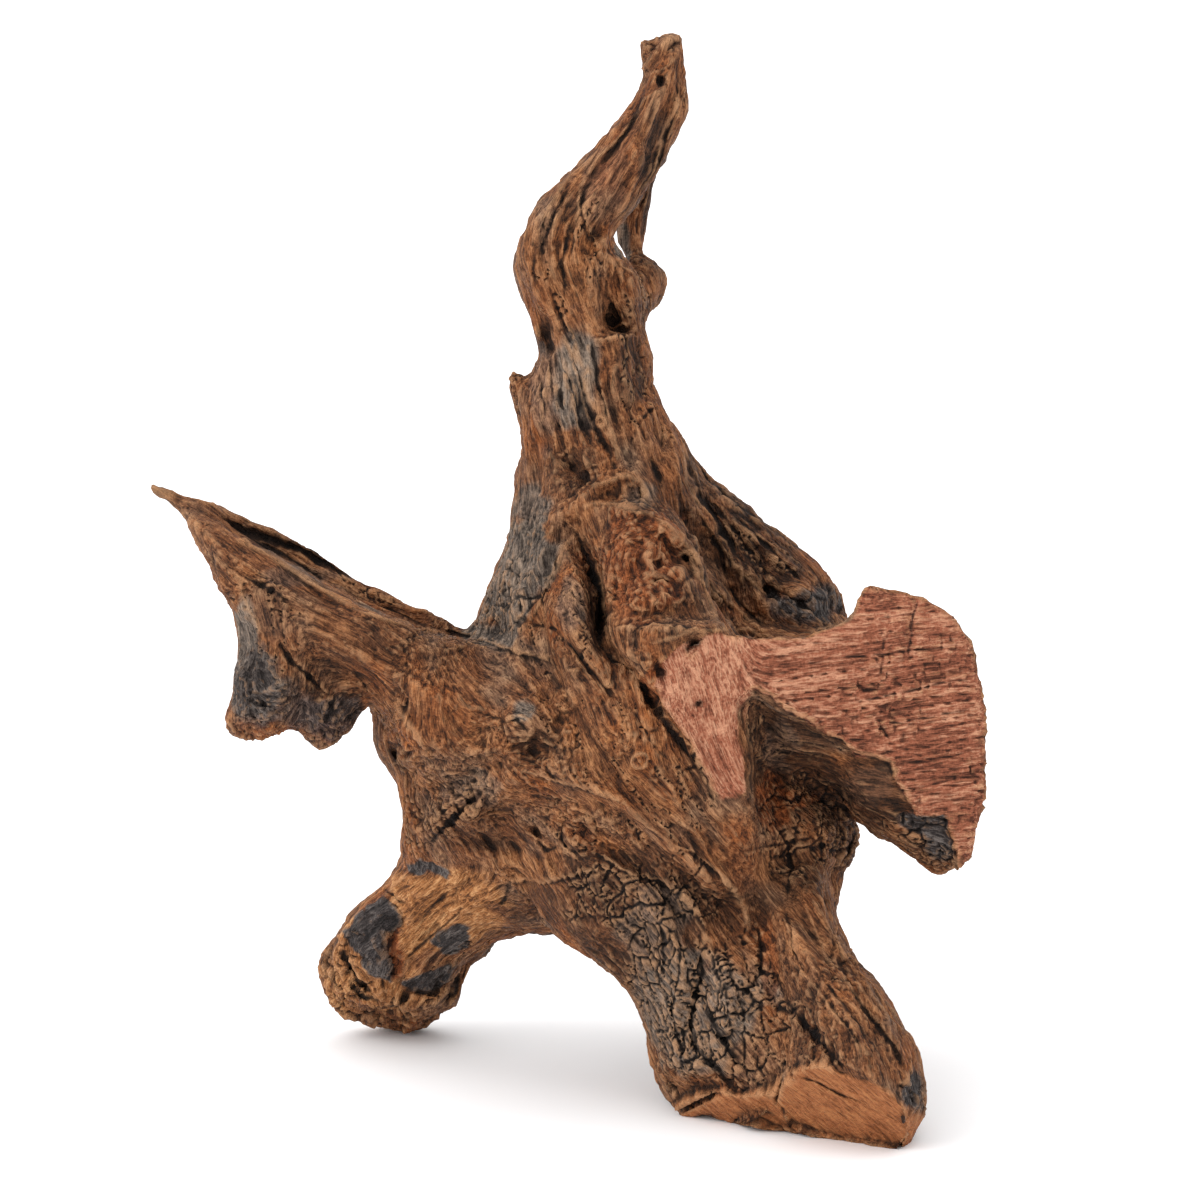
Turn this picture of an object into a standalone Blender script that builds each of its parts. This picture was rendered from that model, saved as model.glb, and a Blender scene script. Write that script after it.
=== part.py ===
"""Driftwood: a weathered root stump with a twisted spire, a side arm, a sawn slab and three feet.

The wood grew as one piece, so it is one solid. Its limbs are lofts of oval rings, whose two edges
are drawn in the front view. They are merged into one skin, strokes raise its ridges and press in
its clefts, and it is cut flat where a saw passed and where it stands on the floor.
"""

import math

import bmesh
import bpy
import numpy as np
from mathutils import Vector, noise
from mathutils.bvhtree import BVHTree

# Driving sizes. The front view is drawn on a square grid, x to the right and y down, as an eye
# sees it from this far and this much above level. A step is 0.4 mm at the origin, and the wood
# reaches over 1123 steps of its height.
GRID_STEP = 0.0004
GRID_MIDDLE_X = 600
GRID_FLOOR_Y = 1090
VIEW_TILT = math.radians(15)
VIEW_DISTANCE = 2.0
MM = 0.001

# How finely a limb's rings are drawn, and how its ends are rounded.
RING_POINTS = 32
RINGS_BETWEEN = 4
END_SHARE = 0.6
END_REACH = 0.25

# The skin: its cell while it is worked, the passes that round its steps, and its triangles at last.
SKIN_CELL = 0.0024
FORM_PASSES = 3
SEAM_PASSES = 1
TRIANGLES = 11400
SHARP_ANGLE = math.radians(40)

# A stroke acts in full where the skin's slope to the line of sight is over 1 / FACING_SHARPNESS,
# and it fades to STROKE_END of its height at its two ends.
FACING_SHARPNESS = 2.5
CLEAR_CELLS = 2.5
STROKE_END = 0.3
EVEN_PASSES = 3

# The strands that weather has left: how many lie round a limb, how far apart the limbs' patterns
# are drawn, and a strand's length and height in millimetres.
GRAIN_AROUND = 2.4
GRAIN_APART = 9.7
GRAIN_LENGTH = 48
GRAIN_HEIGHT = 2.8

SAW_SNAP = 0.000001

WOOD_COLOUR = (0.235, 0.118, 0.058, 1.0)
WOOD_ROUGHNESS = 0.85

TILT_SIN = math.sin(VIEW_TILT)
TILT_COS = math.cos(VIEW_TILT)
VIEW_RIGHT = Vector((1, 0, 0))
VIEW_UP = Vector((0, TILT_SIN, TILT_COS))
VIEW_AHEAD = Vector((0, TILT_COS, -TILT_SIN))


def seen(x, y, depth):
    """The point that the front view shows at (x, y), at that depth in millimetres behind the middle."""
    across = (x - GRID_MIDDLE_X) * GRID_STEP
    up = (GRID_FLOOR_Y - y) * GRID_STEP
    ahead = (depth * MM - up * TILT_SIN) / (TILT_COS + up * TILT_SIN / VIEW_DISTANCE)
    spread = 1 + ahead / VIEW_DISTANCE
    return VIEW_RIGHT * across * spread + VIEW_UP * up * spread + VIEW_AHEAD * ahead


# Each ring is (edge x, y, other edge x, y, depth of its middle, thickness). The edges are in
# steps of the front view, the depth and the thickness in millimetres.
TRUNK = [
    (651, 40, 687, 37, 14, 16),
    (645, 62, 686, 60, 12, 20),
    (637, 80, 685, 80, 11, 24),
    (626, 99, 685, 98, 10, 26),
    (611, 121, 678, 120, 10, 28),
    (595, 141, 668, 144, 8, 30),
    (573, 164, 658, 168, 7, 33),
    (549, 185, 644, 190, 6, 37),
    (532, 208, 630, 212, 6, 41),
    (518, 235, 612, 226, 6, 44),
    (511, 262, 622, 250, 8, 47),
    (518, 285, 640, 276, 10, 50),
    (527, 308, 643, 300, 12, 50),
    (538, 331, 641, 322, 13, 48),
    (541, 352, 649, 348, 14, 48),
    (524, 385, 653, 380, 15, 52),
    (513, 408, 660, 404, 16, 58),
    (517, 435, 672, 432, 18, 64),
    (519, 470, 688, 468, 20, 72),
    (514, 510, 700, 510, 22, 82),
    (505, 550, 712, 550, 24, 94),
    (486, 590, 730, 590, 26, 106),
    (474, 630, 745, 630, 26, 114),
    (462, 680, 770, 680, 24, 120),
    (455, 730, 800, 740, 22, 124),
    (460, 780, 835, 790, 16, 124),
    (485, 820, 856, 835, 10, 118),
    (520, 870, 840, 872, 4, 108),
    (545, 920, 833, 912, -4, 98),
    (580, 948, 842, 940, -10, 90),
    (610, 972, 858, 965, -16, 84),
    (634, 1000, 884, 990, -20, 80),
    (649, 1040, 906, 1035, -22, 82),
    (652, 1068, 914, 1068, -24, 86),
    (664, 1092, 918, 1096, -24, 86),
    (680, 1112, 906, 1118, -24, 82),
    (712, 1142, 890, 1146, -24, 70),
]

RIGHT_TOE = [
    (742, 880, 826, 868, -14, 64),
    (752, 920, 830, 908, -22, 72),
    (764, 965, 846, 950, -34, 78),
    (776, 1005, 876, 990, -46, 84),
    (782, 1045, 905, 1030, -56, 88),
    (784, 1085, 921, 1080, -62, 90),
    (786, 1115, 918, 1112, -63, 86),
    (800, 1150, 892, 1148, -62, 70),
]

SPIRE_HORN = [
    (645, 74, 668, 70, 12, 15),
    (640, 56, 660, 54, 12, 14),
    (637, 40, 654, 42, 12, 12),
    (639, 28, 651, 29, 12, 9),
]

SPIRE_CROWN = [
    (652, 60, 686, 58, 13, 16),
    (656, 46, 688, 44, 13, 16),
    (657, 33, 686, 32, 13, 13),
    (663, 26, 680, 25, 13, 8),
]

BACK_STRAND = [
    (662, 62, 684, 62, 22, 12),
    (652, 100, 682, 100, 28, 14),
    (640, 140, 670, 140, 34, 15),
    (628, 178, 656, 180, 38, 15),
    (618, 210, 652, 212, 40, 14),
    (615, 236, 650, 236, 40, 13),
    (624, 251, 645, 251, 40, 10),
]

KNOB = [
    (622, 262, 648, 254, 34, 18),
    (622, 278, 664, 270, 36, 26),
    (628, 294, 667, 286, 36, 28),
    (632, 308, 656, 302, 34, 24),
    (630, 322, 642, 316, 30, 16),
]

TOOTH = [
    (513, 404, 545, 396, 14, 20),
    (507, 388, 528, 390, 12, 16),
    (504, 376, 520, 379, 11, 13),
    (504, 364, 514, 366, 11, 9),
]

SNAG = [
    (528, 316, 546, 322, 4, 14),
    (534, 330, 550, 334, 2, 13),
    (536, 346, 552, 350, 4, 12),
]

LEFT_ARM = [
    (600, 662, 520, 850, 16, 100),
    (545, 652, 455, 800, 10, 88),
    (500, 648, 408, 760, 6, 78),
    (452, 638, 384, 715, 1, 68),
    (406, 624, 366, 688, -4, 58),
    (358, 603, 338, 674, -8, 50),
    (312, 578, 290, 656, -11, 44),
    (270, 552, 252, 634, -13, 38),
    (238, 535, 228, 602, -14, 32),
    (215, 524, 210, 562, -14, 24),
    (198, 516, 197, 540, -13, 15),
    (184, 511, 186, 522, -12, 8),
]

# A thin rim behind the arm, which leaves a trough along the arm's top and runs out to a spike.
ARM_RIM = [
    (585, 650, 560, 720, 30, 30),
    (540, 650, 520, 710, 27, 24),
    (500, 637, 480, 690, 24, 20),
    (455, 620, 435, 668, 21, 17),
    (410, 602, 392, 648, 18, 15),
    (360, 578, 344, 626, 14, 14),
    (312, 549, 298, 600, 10, 13),
    (272, 524, 260, 574, 6, 12),
    (240, 508, 230, 552, 2, 11),
    (214, 499, 208, 532, -2, 10),
    (190, 494, 190, 520, -5, 10),
    (168, 486, 172, 507, -7, 8),
    (152, 478, 155, 495, -9, 7),
    (142, 474, 145, 486, -10, 5),
]

ARM_LOBE_OUTER = [
    (224, 585, 300, 600, -14, 38),
    (234, 625, 322, 640, -14, 40),
    (236, 655, 326, 668, -12, 40),
    (230, 690, 312, 698, -10, 36),
    (223, 718, 302, 722, -10, 30),
    (230, 736, 288, 731, -10, 18),
    (246, 740, 270, 737, -10, 7),
]

ARM_LOBE_INNER = [
    (290, 655, 360, 670, -4, 38),
    (292, 688, 367, 690, -4, 36),
    (297, 714, 362, 711, -4, 30),
    (302, 736, 350, 734, -4, 20),
    (314, 750, 333, 749, -4, 7),
]

LEFT_FLANK = [
    (400, 662, 560, 670, 8, 60),
    (368, 692, 560, 700, 12, 78),
    (378, 715, 580, 720, 16, 88),
    (378, 748, 600, 745, 20, 94),
    (396, 776, 620, 780, 24, 96),
    (401, 810, 620, 815, 28, 96),
    (400, 840, 610, 845, 34, 92),
    (406, 862, 590, 870, 42, 86),
    (430, 890, 570, 905, 48, 70),
]

LEFT_FOOT = [
    (500, 760, 700, 900, 24, 96),
    (450, 800, 600, 928, 34, 88),
    (412, 850, 545, 932, 46, 80),
    (388, 884, 503, 934, 58, 72),
    (362, 905, 488, 952, 66, 66),
    (338, 931, 466, 966, 72, 62),
    (325, 960, 464, 988, 78, 58),
    (330, 990, 463, 1004, 84, 50),
    (345, 1008, 442, 1016, 89, 40),
    (374, 1022, 428, 1026, 95, 28),
    (388, 1030, 424, 1032, 100, 18),
]

# The buttress runs down behind and ends in a root that the front view doesn't show.
BUTTRESS = [
    (628, 440, 668, 414, 22, 40),
    (640, 490, 697, 460, 28, 46),
    (650, 545, 738, 502, 36, 54),
    (668, 600, 786, 538, 43, 62),
    (690, 650, 826, 576, 48, 72),
    (712, 700, 848, 620, 50, 84),
    (722, 760, 855, 690, 50, 92),
    (728, 820, 848, 765, 53, 92),
    (734, 880, 836, 840, 59, 82),
    (738, 935, 828, 910, 66, 70),
    (742, 985, 824, 972, 74, 58),
    (746, 1022, 822, 1020, 81, 52),
    (744, 1052, 826, 1052, 84, 52),
]

BURL = [
    (596, 500, 650, 492, -6, 26),
    (582, 522, 685, 524, -12, 42),
    (592, 560, 700, 560, -19, 52),
    (602, 600, 712, 600, -26, 56),
    (607, 640, 735, 634, -34, 60),
    (622, 690, 750, 690, -38, 60),
    (652, 740, 750, 740, -40, 56),
    (688, 790, 753, 790, -40, 50),
    (708, 840, 758, 840, -38, 44),
    (730, 885, 763, 885, -36, 34),
    (748, 925, 762, 925, -34, 18),
]

FOLD = [
    (580, 540, 598, 538, -8, 18),
    (560, 565, 598, 562, -12, 34),
    (547, 592, 600, 590, -16, 44),
    (542, 622, 602, 622, -20, 50),
    (552, 662, 620, 655, -26, 54),
    (570, 705, 645, 700, -30, 56),
    (592, 752, 676, 745, -34, 56),
    (622, 802, 702, 790, -36, 52),
    (658, 850, 724, 840, -37, 46),
    (696, 890, 742, 880, -37, 36),
]

SWEEP = [
    (530, 642, 440, 740, -2, 56),
    (580, 672, 495, 785, -10, 64),
    (632, 722, 558, 812, -18, 68),
    (682, 772, 612, 842, -25, 66),
    (716, 822, 662, 868, -30, 58),
    (742, 872, 712, 900, -32, 42),
    (760, 912, 750, 924, -33, 20),
]

SLAB_LIMB = [
    (728, 642, 742, 790, 4, 104),
    (780, 638, 800, 780, -2, 98),
    (820, 632, 832, 796, -8, 88),
    (856, 620, 858, 824, -14, 78),
    (884, 604, 890, 846, -18, 70),
    (914, 604, 920, 868, -20, 62),
    (940, 616, 944, 880, -22, 52),
    (962, 646, 963, 850, -25, 40),
    (973, 700, 973, 796, -27, 22),
]

LIMBS = [
    TRUNK,
    RIGHT_TOE,
    SPIRE_HORN,
    SPIRE_CROWN,
    BACK_STRAND,
    KNOB,
    TOOTH,
    SNAG,
    LEFT_ARM,
    ARM_RIM,
    ARM_LOBE_OUTER,
    ARM_LOBE_INNER,
    LEFT_FLANK,
    LEFT_FOOT,
    BUTTRESS,
    BURL,
    FOLD,
    SWEEP,
    SLAB_LIMB,
]

# Strokes shape the skin where the front view shows it. Each is (half width in grid steps, height in
# millimetres, points in grid steps). A negative height presses a cleft, a positive one lifts a ridge.
SPIRE_STROKES = [
    (9, -6, [(678, 66), (668, 100), (657, 140), (644, 180), (628, 214)]),
    (12, 4, [(666, 74), (648, 110), (628, 140), (650, 165), (636, 200)]),
    (10, -3, [(652, 84), (630, 122), (600, 160), (572, 205), (560, 250), (566, 310)]),
    (11, 3, [(628, 110), (590, 152), (556, 190), (536, 230), (534, 275), (546, 312)]),
    (9, -3, [(618, 170), (596, 215), (584, 250), (580, 300)]),
    (8, 3, [(634, 190), (612, 226), (598, 250), (590, 290)]),
    (22, -9, [(612, 262), (610, 285), (612, 305)]),
    (16, -16, [(606, 304), (611, 314), (618, 320)]),
    (11, 5, [(594, 340), (612, 337), (632, 336)]),
    (24, 5, [(624, 352), (624, 380), (628, 402)]),
    (7, -4, [(592, 345), (597, 385), (612, 405), (624, 440), (632, 470)]),
    (6, -4, [(577, 338), (584, 380), (596, 420), (610, 455), (620, 478)]),
    (6, 3, [(585, 345), (592, 385), (603, 420), (618, 455)]),
    (6, -5, [(556, 365), (562, 390), (566, 418), (578, 440)]),
    (7, -9, [(543, 312), (544, 330), (546, 348)]),
    (9, 4, [(656, 404), (650, 418), (636, 426)]),
    (8, -5, [(645, 424), (657, 432), (662, 448), (655, 462)]),
    (9, 4, [(668, 430), (676, 440), (676, 468), (690, 510)]),
    (13, -5, [(560, 440), (572, 470), (590, 482)]),
    (14, 3, [(535, 400), (532, 440), (530, 480)]),
]

BODY_STROKES = [
    (12, 7, [(556, 520), (580, 505), (592, 488), (612, 480), (634, 477), (646, 487)]),
    (8, -6, [(637, 482), (642, 497), (634, 508), (620, 505)]),
    (10, 7, [(578, 512), (612, 508), (648, 512), (668, 530), (690, 552), (712, 580), (740, 618)]),
    (12, -5, [(655, 495), (690, 528), (716, 560), (742, 596)]),
    (12, -4, [(540, 440), (536, 500), (524, 550), (504, 600)]),
    (10, 3, [(556, 500), (548, 540), (532, 580), (512, 622)]),
    (9, -5, [(572, 530), (552, 560), (540, 590), (528, 616)]),
    (10, 6, [(582, 535), (562, 552), (550, 578), (542, 602), (534, 620)]),
    (8, -7, [(534, 622), (552, 630), (566, 648), (584, 668), (606, 690), (626, 706)]),
    (12, -16, [(574, 540), (590, 562), (598, 590), (601, 618), (603, 644)]),
    (9, -13, [(603, 640), (622, 662), (640, 678), (650, 698), (666, 720), (684, 748), (710, 800)]),
    (8, 4, [(606, 545), (608, 580), (612, 620), (616, 640), (640, 665), (660, 692), (690, 738), (716, 788)]),
    (20, 3, [(572, 580), (576, 620), (584, 650)]),
    (12, -5, [(640, 548), (632, 580), (620, 606)]),
    (15, -8, [(668, 545), (682, 556), (694, 568)]),
    (11, 5, [(666, 578), (682, 574), (690, 586), (682, 598)]),
    (8, -5, [(652, 584), (664, 582), (676, 584)]),
    (15, -6, [(625, 618), (660, 616), (700, 614), (730, 612)]),
    (8, 5, [(606, 632), (632, 626), (668, 628), (705, 628), (732, 625), (770, 636), (812, 634), (846, 620)]),
    (11, -8, [(676, 648), (688, 645), (700, 638)]),
    (11, -7, [(654, 668), (660, 682), (664, 696)]),
    (9, -4, [(696, 556), (726, 592), (752, 616), (800, 622)]),
    (9, -4, [(690, 470), (724, 515), (762, 560), (800, 588)]),
    (7, 3, [(680, 480), (712, 530), (744, 580), (770, 612)]),
    (9, -5, [(672, 500), (690, 540), (712, 580)]),
    (7, 3, [(700, 490), (745, 535), (790, 568)]),
    (9, -9, [(758, 588), (768, 592), (784, 604)]),
    (11, -9, [(826, 612), (838, 606), (848, 612)]),
    (14, 3, [(788, 588), (806, 596), (824, 600)]),
]

ARM_STROKES = [
    (8, -5, [(206, 512), (240, 525), (276, 547), (326, 577), (382, 606), (440, 628), (490, 638)]),
    (8, 3, [(214, 530), (240, 543), (279, 562), (330, 592), (388, 620), (440, 638), (500, 650), (536, 640)]),
    (12, -5, [(272, 636), (300, 664), (332, 690), (352, 704)]),
    (9, -9, [(299, 728), (300, 704), (294, 676)]),
    (18, -4, [(252, 642), (256, 680), (258, 712)]),
    (14, 3, [(330, 640), (380, 668), (440, 700), (500, 715)]),
    (20, -3, [(300, 600), (360, 640), (430, 665), (500, 680)]),
]

FLANK_STROKES = [
    (9, -9, [(392, 750), (404, 752)]),
    (10, 4, [(398, 728), (440, 748), (486, 752), (520, 742)]),
    (9, -6, [(420, 800), (440, 790), (474, 776), (500, 766)]),
    (9, -4, [(398, 800), (420, 816), (424, 834)]),
    (18, 5, [(505, 722), (524, 716), (540, 726)]),
    (9, -9, [(530, 744), (540, 752), (550, 756)]),
    (9, -5, [(496, 740), (520, 748), (536, 764)]),
    (16, 7, [(408, 856), (436, 834), (474, 808), (506, 788), (530, 776)]),
    (8, -9, [(424, 850), (446, 826), (472, 800), (500, 780)]),
    (12, 5, [(420, 830), (450, 812), (484, 788), (505, 774)]),
    (14, 5, [(566, 816), (582, 820), (588, 842)]),
    (9, -6, [(532, 826), (540, 838), (556, 846)]),
    (15, 8, [(540, 764), (580, 780), (620, 802), (650, 828), (676, 854), (702, 874), (732, 890), (750, 922)]),
    (8, -7, [(592, 800), (620, 818), (648, 840), (668, 860), (696, 886), (716, 906), (736, 930)]),
    (12, 5, [(596, 812), (630, 838), (656, 862), (684, 896), (704, 930), (706, 962)]),
    (9, -5, [(560, 812), (600, 846), (640, 866), (664, 890), (684, 926), (694, 960)]),
    (14, 4, [(556, 856), (600, 870), (640, 890), (664, 920), (680, 960), (676, 1000)]),
    (10, -4, [(520, 880), (570, 892), (616, 908), (640, 932), (656, 968)]),
    (12, 3, [(470, 850), (520, 868), (560, 880), (600, 904), (632, 930)]),
    (10, -5, [(470, 836), (510, 842), (556, 856), (600, 866)]),
    (6, -5, [(502, 884), (506, 904)]),
]

FOOT_STROKES = [
    (26, -5, [(404, 966), (426, 930), (456, 890), (488, 862)]),
    (14, 4, [(352, 936), (376, 898), (404, 872), (430, 856)]),
    (12, 4, [(448, 980), (462, 950), (484, 930)]),
    (12, 3, [(346, 996), (386, 1006), (426, 1004), (450, 992)]),
    (10, -4, [(356, 966), (380, 984), (410, 986)]),
]

LEG_STROKES = [
    (17, -8, [(764, 968), (790, 1002), (812, 1034), (832, 1062)]),
    (9, 4, [(752, 952), (776, 984), (796, 1012), (816, 1048)]),
    (9, -4, [(704, 944), (702, 984), (690, 1012), (690, 1042), (708, 1066), (732, 1086)]),
    (14, 3, [(722, 960), (722, 1000), (716, 1040), (740, 1070)]),
    (12, 3, [(680, 990), (668, 1030), (676, 1068)]),
    (9, 6, [(760, 892), (792, 934), (826, 984), (852, 1028), (880, 1076)]),
    (8, -5, [(784, 884), (812, 930), (842, 976), (870, 1020), (896, 1068)]),
    (9, 5, [(806, 880), (830, 922), (852, 966), (880, 1010), (906, 1060)]),
    (7, -5, [(826, 900), (842, 944), (862, 980)]),
    (18, -10, [(764, 712), (770, 745), (772, 780), (778, 812)]),
    (14, -8, [(780, 742), (800, 768), (812, 790)]),
    (12, -9, [(822, 788), (842, 800), (856, 824)]),
    (10, -5, [(772, 800), (782, 836), (786, 872), (796, 900)]),
    (9, 4, [(758, 836), (764, 880), (772, 924)]),
    (11, 5, [(812, 812), (826, 834), (822, 868)]),
    (9, -5, [(842, 868), (828, 882), (822, 900)]),
    (10, -6, [(812, 762), (816, 778)]),
    (14, 4, [(846, 776), (872, 800), (902, 832), (930, 850)]),
]

FRONT_STROKES = SPIRE_STROKES + BODY_STROKES + ARM_STROKES + FLANK_STROKES + FOOT_STROKES + LEG_STROKES

# The strokes behind follow the same grid, as if it were seen through the wood.
BACK_STROKES = [
    (11, -4, [(654, 80), (620, 135), (580, 185), (560, 240), (570, 320), (590, 400), (600, 470)]),
    (10, 4, [(640, 90), (600, 150), (555, 210), (535, 260), (552, 330), (566, 400), (566, 470)]),
    (10, -5, [(530, 390), (545, 450), (540, 520), (520, 590), (500, 650)]),
    (14, 5, [(600, 380), (610, 450), (600, 520), (580, 600), (560, 680), (530, 760)]),
    (18, -14, [(632, 520), (622, 580), (610, 650), (606, 720), (600, 780)]),
    (12, 6, [(660, 480), (656, 560), (650, 640), (656, 720), (680, 790)]),
    (10, -5, [(690, 500), (720, 570), (750, 640), (770, 720), (780, 800)]),
    (10, 4, [(664, 440), (710, 510), (760, 580), (796, 660), (806, 760), (800, 860)]),
    (16, -9, [(570, 560), (560, 610), (545, 650)]),
    (14, 6, [(520, 660), (470, 690), (420, 690), (370, 670), (320, 640)]),
    (11, -6, [(500, 620), (440, 630), (380, 615), (320, 585), (260, 545)]),
    (12, -6, [(540, 720), (500, 760), (460, 800), (430, 850), (400, 900)]),
    (13, 6, [(580, 740), (540, 790), (500, 840), (460, 890), (420, 940)]),
    (12, -6, [(600, 800), (580, 850), (550, 890)]),
    (16, 6, [(640, 800), (660, 860), (690, 920), (700, 990), (700, 1050)]),
    (13, -7, [(690, 820), (720, 880), (730, 950), (730, 1020)]),
    (10, -5, [(770, 880), (775, 940), (778, 1000)]),
    (13, 5, [(830, 860), (850, 930), (870, 1000), (886, 1060)]),
    (14, -5, [(880, 650), (900, 700), (920, 760)]),
    (10, 5, [(860, 680), (880, 740), (900, 800), (930, 840)]),
    (14, -8, [(462, 730), (474, 752)]),
    (12, -8, [(652, 330), (640, 350)]),
    (15, -4, [(250, 620), (256, 680)]),
    (10, -7, [(300, 730), (298, 690)]),
    (20, 6, [(470, 660), (486, 700)]),
    (16, 5, [(600, 560), (590, 590)]),
]

# The outline of the sawn plate, which stands proud of the limb behind it.
SLAB_FACE = [
    (690, 640), (735, 631), (760, 638), (800, 637), (845, 623), (856, 608), (862, 590), (873, 580),
    (884, 587), (903, 591), (928, 598), (948, 609), (966, 628), (977, 653), (983, 690), (987, 730),
    (988, 770), (984, 805), (979, 828), (973, 858), (955, 881), (949, 862), (946, 824), (916, 813),
    (898, 787), (885, 767), (870, 759), (845, 749), (822, 736), (800, 723), (778, 708), (762, 696),
    (747, 694), (735, 700), (700, 690),
]
SLAB_FACE_DEPTH_LEFT = -61
SLAB_FACE_DEPTH_RIGHT = -52
SLAB_FACE_THICKNESS = 30
SLAB_BACK_SHARE = 0.86

# The saw took off all that stood in front of the plate's face inside this outline.
SAWN_AREA = [
    (655, 646), (690, 632), (735, 626), (800, 630), (850, 600), (880, 560), (1020, 560), (1020, 900),
    (930, 900), (860, 790), (752, 790), (750, 830), (728, 836), (712, 800), (694, 768), (676, 736),
    (656, 706), (644, 680),
]
SAWN_AREA_REACH = 0.12

# The foot's sawn face meets the floor along this line, given as x and y in millimetres, and its
# outward side tips this far below level.
FOOT_CUT_FROM = (30, -30)
FOOT_CUT_TO = (110, -84)
FOOT_CUT_DIP = math.radians(33)


def loft(bm, rings):
    """Adds a closed skin over the rings to bm, with a smooth course between them and rounded ends."""
    loops = smooth_rings(rings)
    loops.insert(0, end_points(loops[0], loops[1]))
    loops.append(end_points(loops[-1], loops[-2]))
    skins = [[bm.verts.new(p) for p in loop] for loop in loops]
    for first, second in zip(skins, skins[1:]):
        for i in range(RING_POINTS):
            j = (i + 1) % RING_POINTS
            bm.faces.new((first[i], first[j], second[j], second[i]))
    bm.faces.new(list(reversed(skins[0])))
    bm.faces.new(skins[-1])


def catmull_rom(table, t):
    """The row at t on the smooth course through the table's rows."""
    last = len(table) - 1
    i = min(int(t), last - 1)
    f = t - i
    a, b, c, d = (table[min(max(k, 0), last)] for k in (i - 1, i, i + 1, i + 2))
    return b + 0.5 * f * (c - a + f * (2 * a - 5 * b + 4 * c - d + f * (3 * (b - c) + d - a)))


def smooth_rings(rings):
    """The rings with others between them on a smooth course, each as a loop of points."""
    table = np.array(rings, float)
    steps = np.linspace(0, len(table) - 1, (len(table) - 1) * RINGS_BETWEEN + 1)
    return [ring_points(catmull_rom(table, t)) for t in steps]


def ring_points(row):
    """An oval between the two edges, whose other axis runs along the line of sight."""
    first = seen(row[0], row[1], row[4])
    second = seen(row[2], row[3], row[4])
    middle = seen((row[0] + row[2]) / 2, (row[1] + row[3]) / 2, row[4])
    half = (second - first) / 2
    half -= VIEW_AHEAD * half.dot(VIEW_AHEAD)
    deep = VIEW_AHEAD * row[5] * MM / 2
    points = []
    for k in range(RING_POINTS):
        turn = 2 * math.pi * k / RING_POINTS
        points.append(middle + half * math.cos(turn) + deep * math.sin(turn))
    return points


def end_points(loop, neighbour):
    """A smaller ring just beyond an end ring, which rounds the end."""
    middle = sum(loop, Vector()) / len(loop)
    before = sum(neighbour, Vector()) / len(neighbour)
    reach = (middle - before).normalized() * (loop[0] - middle).length * END_REACH
    return [middle + (p - middle) * END_SHARE + reach for p in loop]


def slab_depth(x):
    """The depth of the sawn face at x."""
    left, right = SLAB_FACE[0][0], max(x for x, _ in SLAB_FACE)
    share = (x - left) / (right - left)
    return SLAB_FACE_DEPTH_LEFT + share * (SLAB_FACE_DEPTH_RIGHT - SLAB_FACE_DEPTH_LEFT)


def prism(bm, outline, reach, back_share=1):
    """Adds to bm a block from the outline on the sawn face's plane along the line of sight, with its
    far end drawn in to back_share of the outline. A negative reach runs towards the eye."""
    points = [seen(x, y, slab_depth(x)) for x, y in outline]
    middle = sum(points, Vector()) / len(points)
    fronts = [bm.verts.new(p) for p in points]
    backs = [bm.verts.new(middle.lerp(p, back_share) + VIEW_AHEAD * reach) for p in points]
    caps = [bm.faces.new(fronts), bm.faces.new(list(reversed(backs)))]
    for i in range(len(fronts)):
        j = (i + 1) % len(fronts)
        bm.faces.new((fronts[j], fronts[i], backs[i], backs[j]))
    bmesh.ops.triangulate(bm, faces=caps)


def mesh_object(name, bm):
    """A new object that holds bm's mesh."""
    bmesh.ops.recalc_face_normals(bm, faces=bm.faces)
    mesh = bpy.data.meshes.new(name)
    bm.to_mesh(mesh)
    bm.free()
    obj = bpy.data.objects.new(name, mesh)
    bpy.context.scene.collection.objects.link(obj)
    return obj


def apply_modifiers(obj):
    """Puts the object's evaluated shape into its own mesh."""
    graph = bpy.context.evaluated_depsgraph_get()
    shaped = bpy.data.meshes.new_from_object(obj.evaluated_get(graph))
    obj.modifiers.clear()
    old, obj.data = obj.data, shaped
    bpy.data.meshes.remove(old)


def merge_skins(obj):
    """Makes one outer skin of all the closed skins in the object."""
    remesh = obj.modifiers.new("Merge", "REMESH")
    remesh.mode = "VOXEL"
    remesh.voxel_size = SKIN_CELL
    apply_modifiers(obj)


def soften(obj, times):
    """Rounds the skin's steps."""
    smooth = obj.modifiers.new("Soften", "SMOOTH")
    smooth.factor = 0.5
    smooth.iterations = times
    apply_modifiers(obj)


def grain_places(points):
    """Each point's place in the grain: the way round its nearest limb, and the length along it."""
    best = np.full(len(points), np.inf)
    places = np.zeros((len(points), 3))
    for number, limb in enumerate(LIMBS):
        loops = smooth_rings(limb)
        middles = np.array([sum(loop, Vector()) / len(loop) for loop in loops])
        wide = np.array([loop[0] for loop in loops]) - middles
        deep = np.array([loop[RING_POINTS // 4] for loop in loops]) - middles
        along = np.concatenate([[0], np.cumsum(np.linalg.norm(np.diff(middles, axis=0), axis=1))])
        for middle, side, back, length in zip(middles, wide, deep, along):
            offset = points - middle
            size = np.linalg.norm(side) * np.linalg.norm(back)
            gap = np.einsum("ij,ij->i", offset, offset) / size
            closer = gap < best
            best[closer] = gap[closer]
            turn = np.arctan2(offset[closer] @ back / (back @ back), offset[closer] @ side / (side @ side))
            places[closer, 0] = np.cos(turn) * GRAIN_AROUND + number * GRAIN_APART
            places[closer, 1] = np.sin(turn) * GRAIN_AROUND
            places[closer, 2] = length / MM / GRAIN_LENGTH
    return places


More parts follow.
